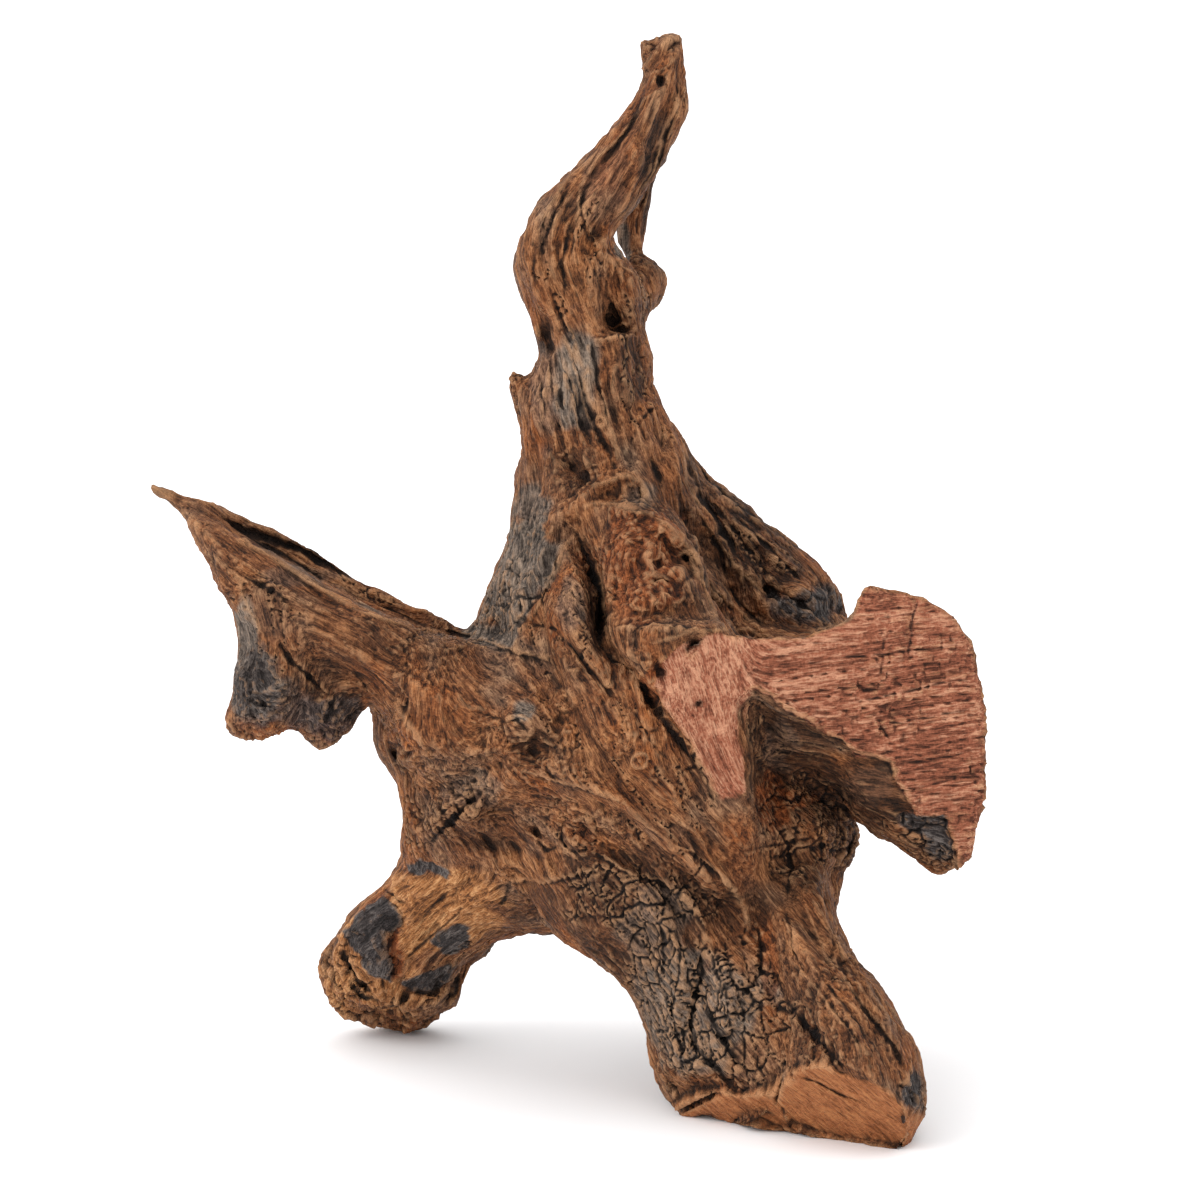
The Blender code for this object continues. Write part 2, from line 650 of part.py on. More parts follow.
def weather(obj):
    """Lifts and sinks the skin in long strands that run with each limb's grain."""
    mesh = obj.data
    points, normals = skin_arrays(mesh)
    strands = np.array([noise.noise(Vector(place)) for place in grain_places(points)])
    height = even_out(mesh, strands) * GRAIN_HEIGHT * MM
    mesh.vertices.foreach_set("co", (points + normals * height[:, None]).ravel())
    mesh.update()


def skin_arrays(mesh):
    """The points and the normals of the skin, one row each."""
    points = np.empty(len(mesh.vertices) * 3)
    normals = np.empty(len(mesh.vertices) * 3)
    mesh.vertices.foreach_get("co", points)
    mesh.vertices.foreach_get("normal", normals)
    return points.reshape(-1, 3), normals.reshape(-1, 3)


def add_slab_face(obj):
    """Adds the plate behind the sawn face to the wood."""
    bm = bmesh.new()
    bm.from_mesh(obj.data)
    prism(bm, SLAB_FACE, SLAB_FACE_THICKNESS * MM, SLAB_BACK_SHARE)
    bmesh.ops.recalc_face_normals(bm, faces=bm.faces)
    bm.to_mesh(obj.data)
    bm.free()


def saw_slab(obj):
    """Cuts the slab's face and the flap beside it flat."""
    bm = bmesh.new()
    prism(bm, SAWN_AREA, -SAWN_AREA_REACH)
    cutter = mesh_object("saw", bm)
    cutter.hide_render = True
    cutter.display_type = "WIRE"
    cut = obj.modifiers.new("Saw", "BOOLEAN")
    cut.operation = "DIFFERENCE"
    cut.object = cutter
    apply_modifiers(obj)
    bpy.data.objects.remove(cutter)


def saw_off(obj, point, outward):
    """Cuts the wood flat along a plane, and takes away what lies on its outward side."""
    bm = bmesh.new()
    bm.from_mesh(obj.data)
    everything = bm.verts[:] + bm.edges[:] + bm.faces[:]
    cut = bmesh.ops.bisect_plane(
        bm, geom=everything, plane_co=point, plane_no=outward, clear_outer=True, dist=SAW_SNAP
    )
    rim = [item for item in cut["geom_cut"] if isinstance(item, bmesh.types.BMEdge)]
    caps = bmesh.ops.edgenet_fill(bm, edges=rim)["faces"]
    bmesh.ops.triangulate(bm, faces=caps)
    bmesh.ops.recalc_face_normals(bm, faces=bm.faces)
    bm.to_mesh(obj.data)
    bm.free()


def saw_foot(obj):
    """Cuts the right foot's front face, which leans out over the line where it meets the floor."""
    start, end = (Vector((x, y, 0)) * MM for x, y in (FOOT_CUT_FROM, FOOT_CUT_TO))
    along = (end - start).normalized()
    level = along.cross(Vector((0, 0, 1)))
    outward = level * math.cos(FOOT_CUT_DIP) - Vector((0, 0, 1)) * math.sin(FOOT_CUT_DIP)
    saw_off(obj, start, outward)


def thin_out(obj):
    """Brings the skin down to the number of triangles that its form needs."""
    decimate = obj.modifiers.new("Thin", "DECIMATE")
    decimate.ratio = TRIANGLES / sum(len(face.vertices) - 2 for face in obj.data.polygons)
    decimate.use_collapse_triangulate = True
    apply_modifiers(obj)


def stand(obj):
    """Places the wood with the origin on the floor, under the middle of its box."""
    points, _ = skin_arrays(obj.data)
    low, high = points.min(axis=0), points.max(axis=0)
    middle = (low + high) / 2
    obj.location = (-middle[0], -middle[1], -low[2])


def finish(obj):
    """Shades the skin smooth up to its edges and gives it the wood's material."""
    obj.data.shade_smooth()
    obj.data.set_sharp_from_angle(angle=SHARP_ANGLE)
    material = bpy.data.materials.new("weathered wood")
    material.use_nodes = True
    shader = material.node_tree.nodes["Principled BSDF"]
    shader.inputs["Base Color"].default_value = WOOD_COLOUR
    shader.inputs["Roughness"].default_value = WOOD_ROUGHNESS
    shader.inputs["Metallic"].default_value = 0
    obj.data.materials.clear()
    obj.data.materials.append(material)


def in_front_view(points):
    """The grid place (x, y) of each world point, which is seen() turned round."""
    across = points @ np.array(VIEW_RIGHT)
    up = points @ np.array(VIEW_UP)
    ahead = points @ np.array(VIEW_AHEAD)
    spread = 1 + ahead / VIEW_DISTANCE
    x = across / spread / GRID_STEP + GRID_MIDDLE_X
    y = GRID_FLOOR_Y - up / spread / GRID_STEP
    return np.stack([x, y], axis=1)


def facing(obj, points, normals, side):
    """How far each point of the skin faces side, from 0 to 1, and 0 where other wood hides it."""
    tree = BVHTree.FromObject(obj, bpy.context.evaluated_depsgraph_get())
    slope = np.clip((normals @ np.array(side)) * FACING_SHARPNESS, 0, 1)
    clear = SKIN_CELL * CLEAR_CELLS
    for i in np.nonzero(slope > 0)[0]:
        start = Vector(points[i]) + Vector(normals[i]) * clear
        if tree.ray_cast(start, side)[0] is not None:
            slope[i] = 0
    return even_out(obj.data, slope)


def even_out(mesh, values):
    """Mixes each point's value with its neighbours' a few times."""
    ends = np.empty(len(mesh.edges) * 2, int)
    mesh.edges.foreach_get("vertices", ends)
    here, there = np.concatenate([ends.reshape(-1, 2), ends.reshape(-1, 2)[:, ::-1]]).T
    count = np.bincount(here, minlength=len(values))
    for _ in range(EVEN_PASSES):
        values = (values + np.bincount(here, values[there], len(values)) / count) / 2
    return values


def stroke_height(places, stroke):
    """The height in metres that a stroke gives at each place in the front view."""
    half_width, height, line = stroke
    line = np.array(line, float)
    best = np.full(len(places), np.inf)
    along = np.zeros(len(places))
    lengths = np.linalg.norm(np.diff(line, axis=0), axis=1)
    total = lengths.sum()
    done = 0.0
    near = np.all((places > line.min(axis=0) - half_width) & (places < line.max(axis=0) + half_width), axis=1)
    inside = np.nonzero(near)[0]
    for start, end, length in zip(line, line[1:], lengths):
        way = (end - start) / length
        reach = np.clip((places[inside] - start) @ way, 0, length)
        gap = np.linalg.norm(places[inside] - start - reach[:, None] * way, axis=1)
        closer = gap < best[inside]
        best[inside[closer]] = gap[closer]
        along[inside[closer]] = (done + reach[closer]) / total
        done += length
    bump = np.clip(1 - (best / half_width) ** 2, 0, 1) ** 2
    taper = STROKE_END + (1 - STROKE_END) * np.sqrt(np.clip(4 * along * (1 - along), 0, 1))
    return bump * taper * height * MM


def carve(obj):
    """Moves the skin by the strokes, along the line of sight, so the outline stays as drawn."""
    mesh = obj.data
    points, normals = skin_arrays(mesh)
    places = in_front_view(points)
    moved = points.copy()
    for side, strokes in ((-VIEW_AHEAD, FRONT_STROKES), (VIEW_AHEAD, BACK_STROKES)):
        shown = facing(obj, points, normals, side)
        height = sum(stroke_height(places, stroke) for stroke in strokes)
        moved += np.outer(shown * height, np.array(side))
    mesh.vertices.foreach_set("co", moved.ravel())
    mesh.update()


def build():
    """Makes the driftwood."""
    for obj in list(bpy.data.objects):
        bpy.data.objects.remove(obj)
    bm = bmesh.new()
    for limb in LIMBS:
        loft(bm, limb)
    wood = mesh_object("driftwood", bm)
    merge_skins(wood)
    soften(wood, FORM_PASSES)
    weather(wood)
    add_slab_face(wood)
    merge_skins(wood)
    soften(wood, SEAM_PASSES)
    carve(wood)
    merge_skins(wood)
    soften(wood, SEAM_PASSES)
    saw_slab(wood)
    saw_foot(wood)
    thin_out(wood)
    saw_off(wood, Vector(), Vector((0, 0, -1)))
    stand(wood)
    finish(wood)


build()
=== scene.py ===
"""Driftwood: the looks of a weathered root stump with a twisted spire, a side arm and a sawn slab.

The form comes from the frame. Its facets are rounded, then its clefts and ridges are cut finer, the
grain's strands and cracks are raised along each limb, and the sawn faces get their saw marks. The
marks of age are kept on the mesh, where the wood's material reads them, and so are the painted shade
in its hollows and shaded places and the painted highlights on its crests and raised edges.
"""

import itertools
import logging
import math
from collections.abc import Sequence
from dataclasses import dataclass, field
from enum import Enum, IntEnum

import bpy
import numpy as np
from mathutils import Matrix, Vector


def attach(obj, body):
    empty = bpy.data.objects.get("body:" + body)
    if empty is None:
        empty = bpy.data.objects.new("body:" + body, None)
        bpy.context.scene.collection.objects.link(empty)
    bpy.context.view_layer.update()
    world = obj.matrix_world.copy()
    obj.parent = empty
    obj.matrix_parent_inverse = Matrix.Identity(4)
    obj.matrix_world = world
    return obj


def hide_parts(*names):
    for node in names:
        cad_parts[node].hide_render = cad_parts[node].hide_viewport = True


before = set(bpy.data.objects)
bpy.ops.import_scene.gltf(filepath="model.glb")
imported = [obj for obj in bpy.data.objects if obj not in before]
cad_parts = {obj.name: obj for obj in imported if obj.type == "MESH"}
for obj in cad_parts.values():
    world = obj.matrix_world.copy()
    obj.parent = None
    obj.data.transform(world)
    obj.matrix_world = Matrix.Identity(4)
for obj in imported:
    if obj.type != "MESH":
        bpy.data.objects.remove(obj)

LOG = logging.getLogger("driftwood")
MM = 0.001
TINY = 1e-9

Line = Sequence[tuple[float, float]]
Array = np.ndarray


class Cut(Enum):
    """How a stroke's height falls from its middle to its sides."""

    CRACK = "steep and narrow"
    HOLLOW = "round"
    RIDGE = "a thin crest"
    LIP = "a raised sheet that ends at the line, on its right as the line is walked"


class Mark(Enum):
    """What age and the saw have done to a place on the skin, and where shade and highlights are painted on
    it. Each is kept on the mesh by this name.
    """

    CHARRED = "charred"
    CHECKED = "checked"
    GREYED = "greyed"
    SAWN = "sawn"
    SAWN_END = "sawn_end"
    OCHRE = "ochre"
    # Painted shade: dark patches where shade falls.
    PAINTED_SHADE = "painted_shade"
    RED = "red"
    ROPY = "ropy"
    GNARLED = "gnarled"
    BROKEN = "broken"
    # Cracks, and painted shade in sunk hollows and below raised sheet edges.
    CRACK = "crack"
    # Hollows made darker: grime, and painted shade.
    HOLLOW = "hollow"
    # Crests made paler: rubbing, and a painted highlight; also a painted highlight along raised sheet edges.
    CREST_RUB_AND_PAINTED_HIGHLIGHT = "crest_rub_and_painted_highlight"
    STREAK = "streak"
    TINT = "tint"


class Seed(IntEnum):
    """The seeds of the random fields, so that each run gives the same wood."""

    RAGGED = 3
    EDGE = 4
    STRAND = 5
    FIBRE = 6
    ROPE = 7
    LUMP = 8
    CURL = 9
    SPLIT = 10
    OPEN = 11
    WANDER_ROUND = 12
    BLOCK = 13
    PIT = 14
    PITTED = 15
    WANDER_ACROSS = 16
    WANDER_ALONG = 17
    FINE_BLOCK = 18
    CHUNK = 19
    SAW_WAVE = 20
    TICK = 21
    SAW_CHIP = 22
    DRIFT = 23
    SHATTER = 24
    SAW_ROW = 25
    SWELL = 26
    CHIP = 27
    GNARL_X = 31
    GNARL_Y = 32
    GNARL_Z = 33
    BEHIND = 40
    WOBBLE_X = 51
    WOBBLE_Y = 52
    UNEVEN = 53


@dataclass(frozen=True)
class FrontView:
    """The photograph's eye, and the square grid that the front view is drawn on."""

    step: float = 0.0004
    middle_x: float = 600.0
    floor_y: float = 1090.0
    tilt: float = math.radians(15)
    distance: float = 2.0
    # The grid's middle on the floor. The frame's origin is the middle of the solid's own box.
    stood_at: tuple[float, float, float] = (0.012196, -0.002614, 0.0)
    cell: float = 3.0
    slack: float = 0.006
    steepness: float = 2.5

    @property
    def up(self) -> Vector:
        """The view's upward way."""
        return Vector((0, math.sin(self.tilt), math.cos(self.tilt)))

    @property
    def ahead(self) -> Vector:
        """The way that the eye looks."""
        return Vector((0, math.cos(self.tilt), -math.sin(self.tilt)))

    def point(self, x: float, y: float, depth: float) -> Vector:
        """The point that the grid shows at one place.

        Args:
            x: Steps to the right.
            y: Steps down.
            depth: Millimetres behind the middle, along the floor.

        Returns:
            The point in the frame, in metres.
        """
        across = (x - self.middle_x) * self.step
        high = (self.floor_y - y) * self.step
        rise = high * math.sin(self.tilt)
        away = (depth * MM - rise) / (math.cos(self.tilt) + rise / self.distance)
        spread = 1 + away / self.distance
        sideways = Vector((across * spread, 0, 0))
        return sideways + self.up * high * spread + self.ahead * away + Vector(self.stood_at)

    def places(self, points: Array) -> Array:
        """The grid places of points.

        Args:
            points: One row each, in metres.

        Returns:
            Steps right, steps down and metres away, one row each.
        """
        local = points - np.array(self.stood_at)
        away = local @ np.array(self.ahead)
        spread = 1 + away / self.distance
        x = local[:, 0] / spread / self.step + self.middle_x
        y = self.floor_y - local @ np.array(self.up) / spread / self.step
        return np.stack([x, y, away], axis=1)

    def shown(self, points: Array, normals: Array) -> Array:
        """How far each point can be seen from the front.

        Args:
            points: One row each, in metres.
            normals: One row each.

        Returns:
            From 0, turned away or hidden, to 1, in full view.
        """
        places = self.places(points)
        toward = -places[:, 2]
        cells = np.floor(places[:, :2] / self.cell).astype(int)
        wide = cells[:, 0].max() + 1
        key = cells[:, 1] * wide + cells[:, 0]
        nearest = np.full(key.max() + 1, -np.inf)
        np.maximum.at(nearest, key, toward)
        slope = -(normals @ np.array(self.ahead))
        return np.clip(slope * self.steepness, 0, 1) * (toward > nearest[key] - self.slack)


VIEW = FrontView()


class RandomField:
    """Smooth random heights in space, the same each run. A unit of space holds about one bump."""

    TILE = 64
    SPOT_RANGE = (0.1, 0.9)
    LAYER_SHIFT = 17.3

    def __init__(self, seed: int) -> None:
        """Draws the field's lattice.

        Args:
            seed: The seed of its random numbers.
        """
        draws = np.random.default_rng(seed)
        self.heights = draws.uniform(-1, 1, self.TILE**3).astype(np.float32)
        self.spots = draws.uniform(*self.SPOT_RANGE, (self.TILE**3, 3)).astype(np.float32)

    def _key(self, corner: Array) -> Array:
        """The lattice entry of each whole-numbered corner."""
        corner = corner & (self.TILE - 1)
        return (corner[:, 0] * self.TILE + corner[:, 1]) * self.TILE + corner[:, 2]

    def at(self, places: Array) -> Array:
        """The height at each place, from -1 to 1.

        Args:
            places: One row of three each.

        Returns:
            One height each.
        """
        base = np.floor(places).astype(np.int64)
        part = (places - base).astype(np.float32)
        part = part * part * (3 - 2 * part)
        total = np.zeros(len(places), np.float32)
        for corner in itertools.product((0, 1), repeat=3):
            share = np.ones(len(places), np.float32)
            for axis, bit in enumerate(corner):
                share *= part[:, axis] if bit else 1 - part[:, axis]
            total += share * self.heights[self._key(base + np.array(corner))]
        return total

    def layers(self, places: Array, count: int) -> Array:
        """The sum of finer and finer fields.

        Args:
            places: One row of three each.
            count: How many, each twice as fine and half as high.

        Returns:
            One height each, about -1 to 1.
        """
        total = np.zeros(len(places), np.float32)
        for layer in range(count):
            total += self.at(places * 2**layer + self.LAYER_SHIFT * layer) / 2**layer
        return total

    def cells(self, places: Array, flat: bool = False) -> tuple[Array, Array, Array]:
        """Parts space into blocks round scattered spots.

        Args:
            places: One row of three each.
            flat: Whether the blocks lie in one sheet, and the third number only picks the sheet.

        Returns:
            The distance to the block's edge, a random number of the block from -1 to 1, and the
            distance to its spot.
        """
        base = np.floor(places).astype(np.int64)
        first = np.full(len(places), np.inf, np.float32)
        second = first.copy()
        pick = np.zeros(len(places), np.float32)
        reach = ((-1, 0, 1), (-1, 0, 1), (0,) if flat else (-1, 0, 1))
        for step in itertools.product(*reach):
            corner = base + np.array(step)
            key = self._key(corner)
            gap = (corner + self.spots[key] - places).astype(np.float32)
            if flat:
                gap[:, 2] = 0
            far = np.einsum("ij,ij->i", gap, gap)
            closer = far < first
            second = np.where(closer, first, np.minimum(second, far))
            pick = np.where(closer, self.heights[key], pick)
            first = np.where(closer, far, first)
        return np.sqrt(second) - np.sqrt(first), pick, np.sqrt(first)


def smoothstep(low: float, high: float, values: Array) -> Array:
    """Goes smoothly from 0 at low to 1 at high.

    Args:
        low: The value that gives 0.
        high: The value that gives 1. It may be below low.
        values: Any numbers.

    Returns:
        From 0 to 1.
    """
    share = np.clip((values - low) / (high - low), 0, 1)
    return share * share * (3 - 2 * share)


@dataclass(frozen=True)
class Course:
    """A run of grain: points (x, y, depth in mm, half width in steps), and how far it turns per 100 mm."""

    points: Sequence[tuple[float, float, float, float]]
    twist: float = 0.0


# The runs of grain, each along the middle of its limb.
COURSES = [
    Course(
        [
            (669, 38, 14, 16), (665, 61, 12, 20), (648, 98, 10, 30), (631, 142, 8, 37), (597, 187, 6, 46),
            (566, 235, 7, 52), (580, 300, 12, 58), (595, 350, 14, 58), (590, 405, 17, 70),
            (603, 480, 20, 90), (608, 590, 26, 124), (616, 680, 24, 152), (645, 785, 16, 180),
            (689, 900, -2, 146), (724, 968, -16, 120), (762, 1040, -22, 124), (790, 1144, -24, 100),
        ],
        0.5,
    ),
    Course(
        [
            (784, 870, -14, 42), (797, 938, -28, 44), (826, 998, -46, 52), (846, 1060, -60, 66),
            (846, 1150, -62, 60),
        ]
    ),
    Course([(642, 80, 16, 14), (650, 50, 12, 12), (644, 26, 12, 8)]),
    Course([(673, 62, 22, 11), (652, 142, 34, 16), (635, 211, 40, 17), (634, 251, 40, 11)]),
    Course([(634, 256, 34, 14), (646, 285, 36, 24), (636, 320, 30, 9)]),
    Course([(530, 420, 14, 16), (517, 390, 12, 12), (509, 364, 11, 7)]),
    Course(
        [
            (572, 745, 14, 100), (500, 720, 10, 76), (440, 695, 6, 60), (386, 656, -4, 44),
            (340, 632, -8, 40), (290, 608, -12, 40), (245, 578, -14, 36), (212, 543, -14, 22),
            (185, 516, -12, 8),
        ],
        -0.4,
    ),
    Course(
        [
            (572, 685, 30, 34), (490, 664, 24, 28), (401, 625, 18, 24), (305, 575, 10, 24),
            (250, 545, 5, 22), (200, 510, -4, 15), (143, 480, -10, 7),
        ]
    ),
    Course([(262, 600, -14, 40), (280, 650, -12, 46), (266, 705, -10, 42), (258, 742, -10, 16)]),
    Course([(325, 662, -4, 36), (330, 700, -4, 37), (324, 750, -4, 14)]),
    Course([(480, 680, 12, 90), (478, 730, 18, 104), (496, 778, 24, 100), (512, 826, 34, 84)]),
    Course(
        [
            (600, 830, 24, 104), (525, 864, 34, 88), (470, 895, 48, 70), (425, 928, 66, 66),
            (398, 965, 76, 68), (396, 1000, 86, 62), (405, 1031, 98, 22),
        ]
    ),
    Course(
        [
            (648, 427, 22, 22), (694, 523, 36, 48), (758, 613, 48, 78), (782, 680, 50, 78),
            (788, 792, 53, 62), (783, 922, 66, 46), (785, 1052, 84, 42),
        ],
        0.5,
    ),
    Course(
        [
            (623, 496, -6, 28), (640, 540, -16, 52), (657, 600, -26, 56), (675, 650, -34, 64),
            (701, 740, -40, 50), (728, 830, -39, 26), (755, 925, -34, 8),
        ]
    ),
    Course(
        [
            (589, 539, -8, 12), (574, 580, -15, 26), (578, 640, -23, 34), (607, 702, -30, 38),
            (650, 775, -35, 42), (719, 885, -37, 22),
        ]
    ),
    Course(
        [
            (485, 691, -2, 66), (540, 730, -10, 68), (600, 770, -18, 58), (655, 813, -26, 46),
            (700, 856, -31, 30), (755, 918, -33, 9),
        ],
        -0.6,
    ),
    Course(
        [
            (735, 716, 4, 74), (800, 712, -4, 76), (857, 722, -14, 102), (917, 736, -20, 130),
            (973, 748, -26, 90),
        ]
    ),
]


class GrainField:
    """Where each point lies in the grain of the wood."""

    SAMPLE = 2.5
    APART = 97.0
    ROWS = 20000
    EVENING = 6
    TWIST_LENGTH = 100
    SEAM = 0.06

    def __init__(self, courses: Sequence[Course]) -> None:
        """Lays sample points along each course, with the two ways across it.

        Args:
            courses: The runs of grain.
        """
        middles, along, reach, first, second, turns, number = [], [], [], [], [], [], []
        for index, course in enumerate(courses):
            rows = [(*VIEW.point(x, y, depth), half * VIEW.step) for x, y, depth, half in course.points]
            rows = np.array(rows) / MM
            lengths = np.linalg.norm(np.diff(rows[:, :3], axis=0), axis=1)
            stops = np.concatenate([[0], np.cumsum(lengths)])
            at = np.linspace(0, stops[-1], max(int(stops[-1] / self.SAMPLE), 2))
            line = np.stack([np.interp(at, stops, rows[:, k]) for k in range(4)], axis=1)
            for _ in range(self.EVENING):
                line[1:-1] = (line[:-2] + line[1:-1] * 2 + line[2:]) / 4
            way = np.gradient(line[:, :3], axis=0)
            way /= np.linalg.norm(way, axis=1)[:, None]
            side = np.cross(way, np.array(VIEW.ahead))
            side /= np.linalg.norm(side, axis=1)[:, None]
            middles.append(line[:, :3])
            reach.append(line[:, 3])
            along.append(at)
            first.append(side)
            second.append(np.cross(way, side))
            turns.append(at / self.TWIST_LENGTH * course.twist)
            number.append(np.full(len(at), index))
        self.middles, self.first, self.second = map(np.concatenate, (middles, first, second))
        self.reach, self.along, self.turns = map(np.concatenate, (reach, along, turns))
        self.number = np.concatenate(number)
        self.girth = np.array([np.mean(r) for r in reach])
        self.twist = np.array([course.twist for course in courses])
        self.way = np.cross(self.first, self.second)

    def places(self, points: Array) -> tuple[Array, Array, Array]:
        """The place of each point in the grain.

        Args:
            points: One row each, in metres.

        Returns:
            Millimetres around the limb, the limb's own number in steps of APART and millimetres
            along it, one row each, how clear the place is of the seams between courses, from 0
            to 1, and the way that the grain runs.
        """
        spots = np.zeros((len(points), 3), np.float32)
        ways = np.zeros((len(points), 3), np.float32)
        keep = np.zeros(len(points), np.float32)
        starts = np.searchsorted(self.number, np.arange(self.number[-1] + 1))
        scale = 1 / self.reach**2
        sizes = np.einsum("ij,ij->i", self.middles, self.middles)
        for begin in range(0, len(points), self.ROWS):
            rows = points[begin : begin + self.ROWS] / MM
            gaps = (np.einsum("ij,ij->i", rows, rows)[:, None] + sizes - 2 * rows @ self.middles.T) * scale
            nearest = np.argmin(gaps, axis=1)
            best = np.minimum.reduceat(gaps, starts, axis=1)
            best = np.sqrt(np.clip(np.partition(best, 1, axis=1)[:, :2], 0, None))
            offset = rows - self.middles[nearest]
            x = np.einsum("ij,ij->i", offset, self.first[nearest])
            y = np.einsum("ij,ij->i", offset, self.second[nearest])
            turn = np.arctan2(x, y) + self.turns[nearest]
            course = self.number[nearest]
            part = slice(begin, begin + self.ROWS)
            spots[part, 0] = turn * self.girth[course]
            spots[part, 1] = course * self.APART + 1
            spots[part, 2] = self.along[nearest] + np.einsum("ij,ij->i", offset, self.way[nearest])
            keep[part] = smoothstep(0.0, self.SEAM, best[:, 1] - best[:, 0])
            around = np.cross(self.way[nearest], offset)
            ways[part] = self.way[nearest] - around * self.twist[course][:, None] / self.TWIST_LENGTH
        return spots, keep, ways / np.linalg.norm(ways, axis=1)[:, None]


@dataclass(frozen=True)
class Knot:
    """A knot: its place and reach on the front view, in steps."""

    x: float
    y: float
    reach: float

    SHOWN = 0.2
    FAR = 3.5
    PULL_REACH = 1.8
    PULL = 2
    FEWEST_RINGS = 5
    RINGS = (1.5, 0.8)
    SWELL = (1.4, 0.8)
    SWELL_HEIGHTS = (0.5, 1.2)
    PITH = (0.5, 0.1)
    PITH_DEPTH = 2.0


KNOTS = [
    Knot(677, 573, 12),
    Knot(519, 728, 13),
    Knot(582, 831, 15),
    Knot(634, 494, 13),
    Knot(700, 703, 7),
    Knot(412, 752, 12),
    Knot(470, 812, 14),
    Knot(566, 700, 10),
    Knot(800, 604, 16),
    Knot(640, 760, 8),
    Knot(600, 420, 7),
]


class Flow:
    """The way that the grain runs through space, blended where limbs meet and bent round knots."""

    CELL = 3.0
    MARGIN = 3
    BLUR = 3

    def __init__(self, points: Array, ways: Array) -> None:
        """Blends the ways of the points into a grid.

        Args:
            points: One row each, in millimetres.
            ways: The way that the grain runs at each point.
        """
        self.low = points.min(axis=0) - self.MARGIN * self.CELL
        cells = np.ceil((points.max(axis=0) - self.low) / self.CELL).astype(int)
        self.shape = tuple(cells + self.MARGIN)
        key = self.key(points)
        total = int(np.prod(self.shape))
        grid = np.stack([np.bincount(key, ways[:, k], total) for k in range(3)], axis=1)
        grid = grid.reshape(*self.shape, 3)
        for _ in range(self.BLUR):
            for axis in range(3):
                grid = (np.roll(grid, 1, axis) + 2 * grid + np.roll(grid, -1, axis)) / 4
        grid = grid.reshape(-1, 3)
        self.grid = (grid / np.maximum(np.linalg.norm(grid, axis=1), TINY)[:, None]).astype(np.float32)

    def key(self, places: Array) -> Array:
        """The grid entry of each place.

        Args:
            places: One row each, in millimetres.

        Returns:
            One number each.
        """
        cell = ((places - self.low) / self.CELL).astype(np.int64)
        cell = np.clip(cell, 0, np.array(self.shape) - 1)
        return (cell[:, 0] * self.shape[1] + cell[:, 1]) * self.shape[2] + cell[:, 2]

    def drawn(self, seed: int, places: Array, width: float, steps: int) -> Array:
        """A random field drawn out along the grain.

        Args:
            seed: The field's seed.
            places: One row each, in millimetres.
            width: Millimetres across a strand.
            steps: How far it is drawn each way, in strand widths.

        Returns:
            One height each, mostly between -2 and 2.
        """
        noise = RandomField(seed)
        total = noise.at(places / width)
        for sign in (-1, 1):
            spot = places.astype(np.float32)
            for _ in range(steps):
                spot = spot + self.grid[self.key(spot)] * np.float32(sign * width)
                total += noise.at(spot / width)
        return (total - total.mean()) / total.std()


@dataclass(frozen=True)
class Stroke:
    """A line on the front view that lifts or presses the skin along the line of sight."""

    cut: Cut
    half_width: float
    height: float
    line: Line

    END_SHARE = 0.25
    EDGE = 1.5
    FOOT = 4.0
    FOOT_SHARE = 0.5
    # How much painted shade the foot below a raised edge and a sunk hollow get.
    FOOT_PAINTED_SHADE = 0.9
    HOLLOW_PAINTED_SHADE = 0.6
    CREST_POWER = 1.5

    def profile(self, places: Array) -> tuple[Array, Array, Array, Array]:
        """How the stroke shapes the places that it reaches.

        Args:
            places: Grid places, one row each.

        Returns:
            The numbers of the places that it reaches, the share of its height that each gets,
            and how dark and how pale it leaves each, from 0 to 1.
        """
        line = np.array(self.line, float)
        reach = max(self.half_width, self.FOOT)
        low, high = line.min(axis=0) - reach, line.max(axis=0) + reach
        inside = np.nonzero(np.all((places[:, :2] > low) & (places[:, :2] < high), axis=1))[0]
        gap = np.full(len(inside), np.inf)
        along = np.zeros(len(inside))
        right = np.zeros(len(inside))
        lengths = np.linalg.norm(np.diff(line, axis=0), axis=1)
        done = 0.0
        for start, end, length in zip(line, line[1:], lengths):
            way = (end - start) / length
            offset = places[inside, :2] - start
            walked = np.clip(offset @ way, 0, length)
            far = np.linalg.norm(offset - walked[:, None] * way, axis=1)
            closer = far < gap
            gap[closer] = far[closer]
            along[closer] = (done + walked[closer]) / lengths.sum()
            right[closer] = (way[0] * offset[:, 1] - way[1] * offset[:, 0])[closer]
            done += length
        near = np.clip(1 - gap / self.half_width, 0, 1)
        taper = self.END_SHARE + (1 - self.END_SHARE) * np.sqrt(np.clip(4 * along * (1 - along), 0, 1))
        dark = np.zeros(len(inside))
        pale = np.zeros(len(inside))
        if self.cut is Cut.CRACK:
            dark = near
        elif self.cut is Cut.HOLLOW:
            near = near * near * (3 - 2 * near)
            # Painted shade in a sunk hollow.
            dark = near * (self.HOLLOW_PAINTED_SHADE if self.height < 0 else 0)
        elif self.cut is Cut.RIDGE:
            pale = near
            near = near**self.CREST_POWER
        else:
            beside = gap * np.sign(right)
            foot = np.clip(1 - gap / self.FOOT, 0, 1) * (beside < 0)
            edge = smoothstep(-self.EDGE, self.EDGE, beside)
            near = near * near * (3 - 2 * near) * edge - foot * self.FOOT_SHARE
            # Painted shade at the foot below the raised edge; the pale is a painted highlight along the
            # raised side.
            dark = foot * self.FOOT_PAINTED_SHADE
            pale = np.clip(1 - gap / self.FOOT, 0, 1) * (beside >= 0)
        return inside, near * taper, dark * taper, pale * taper


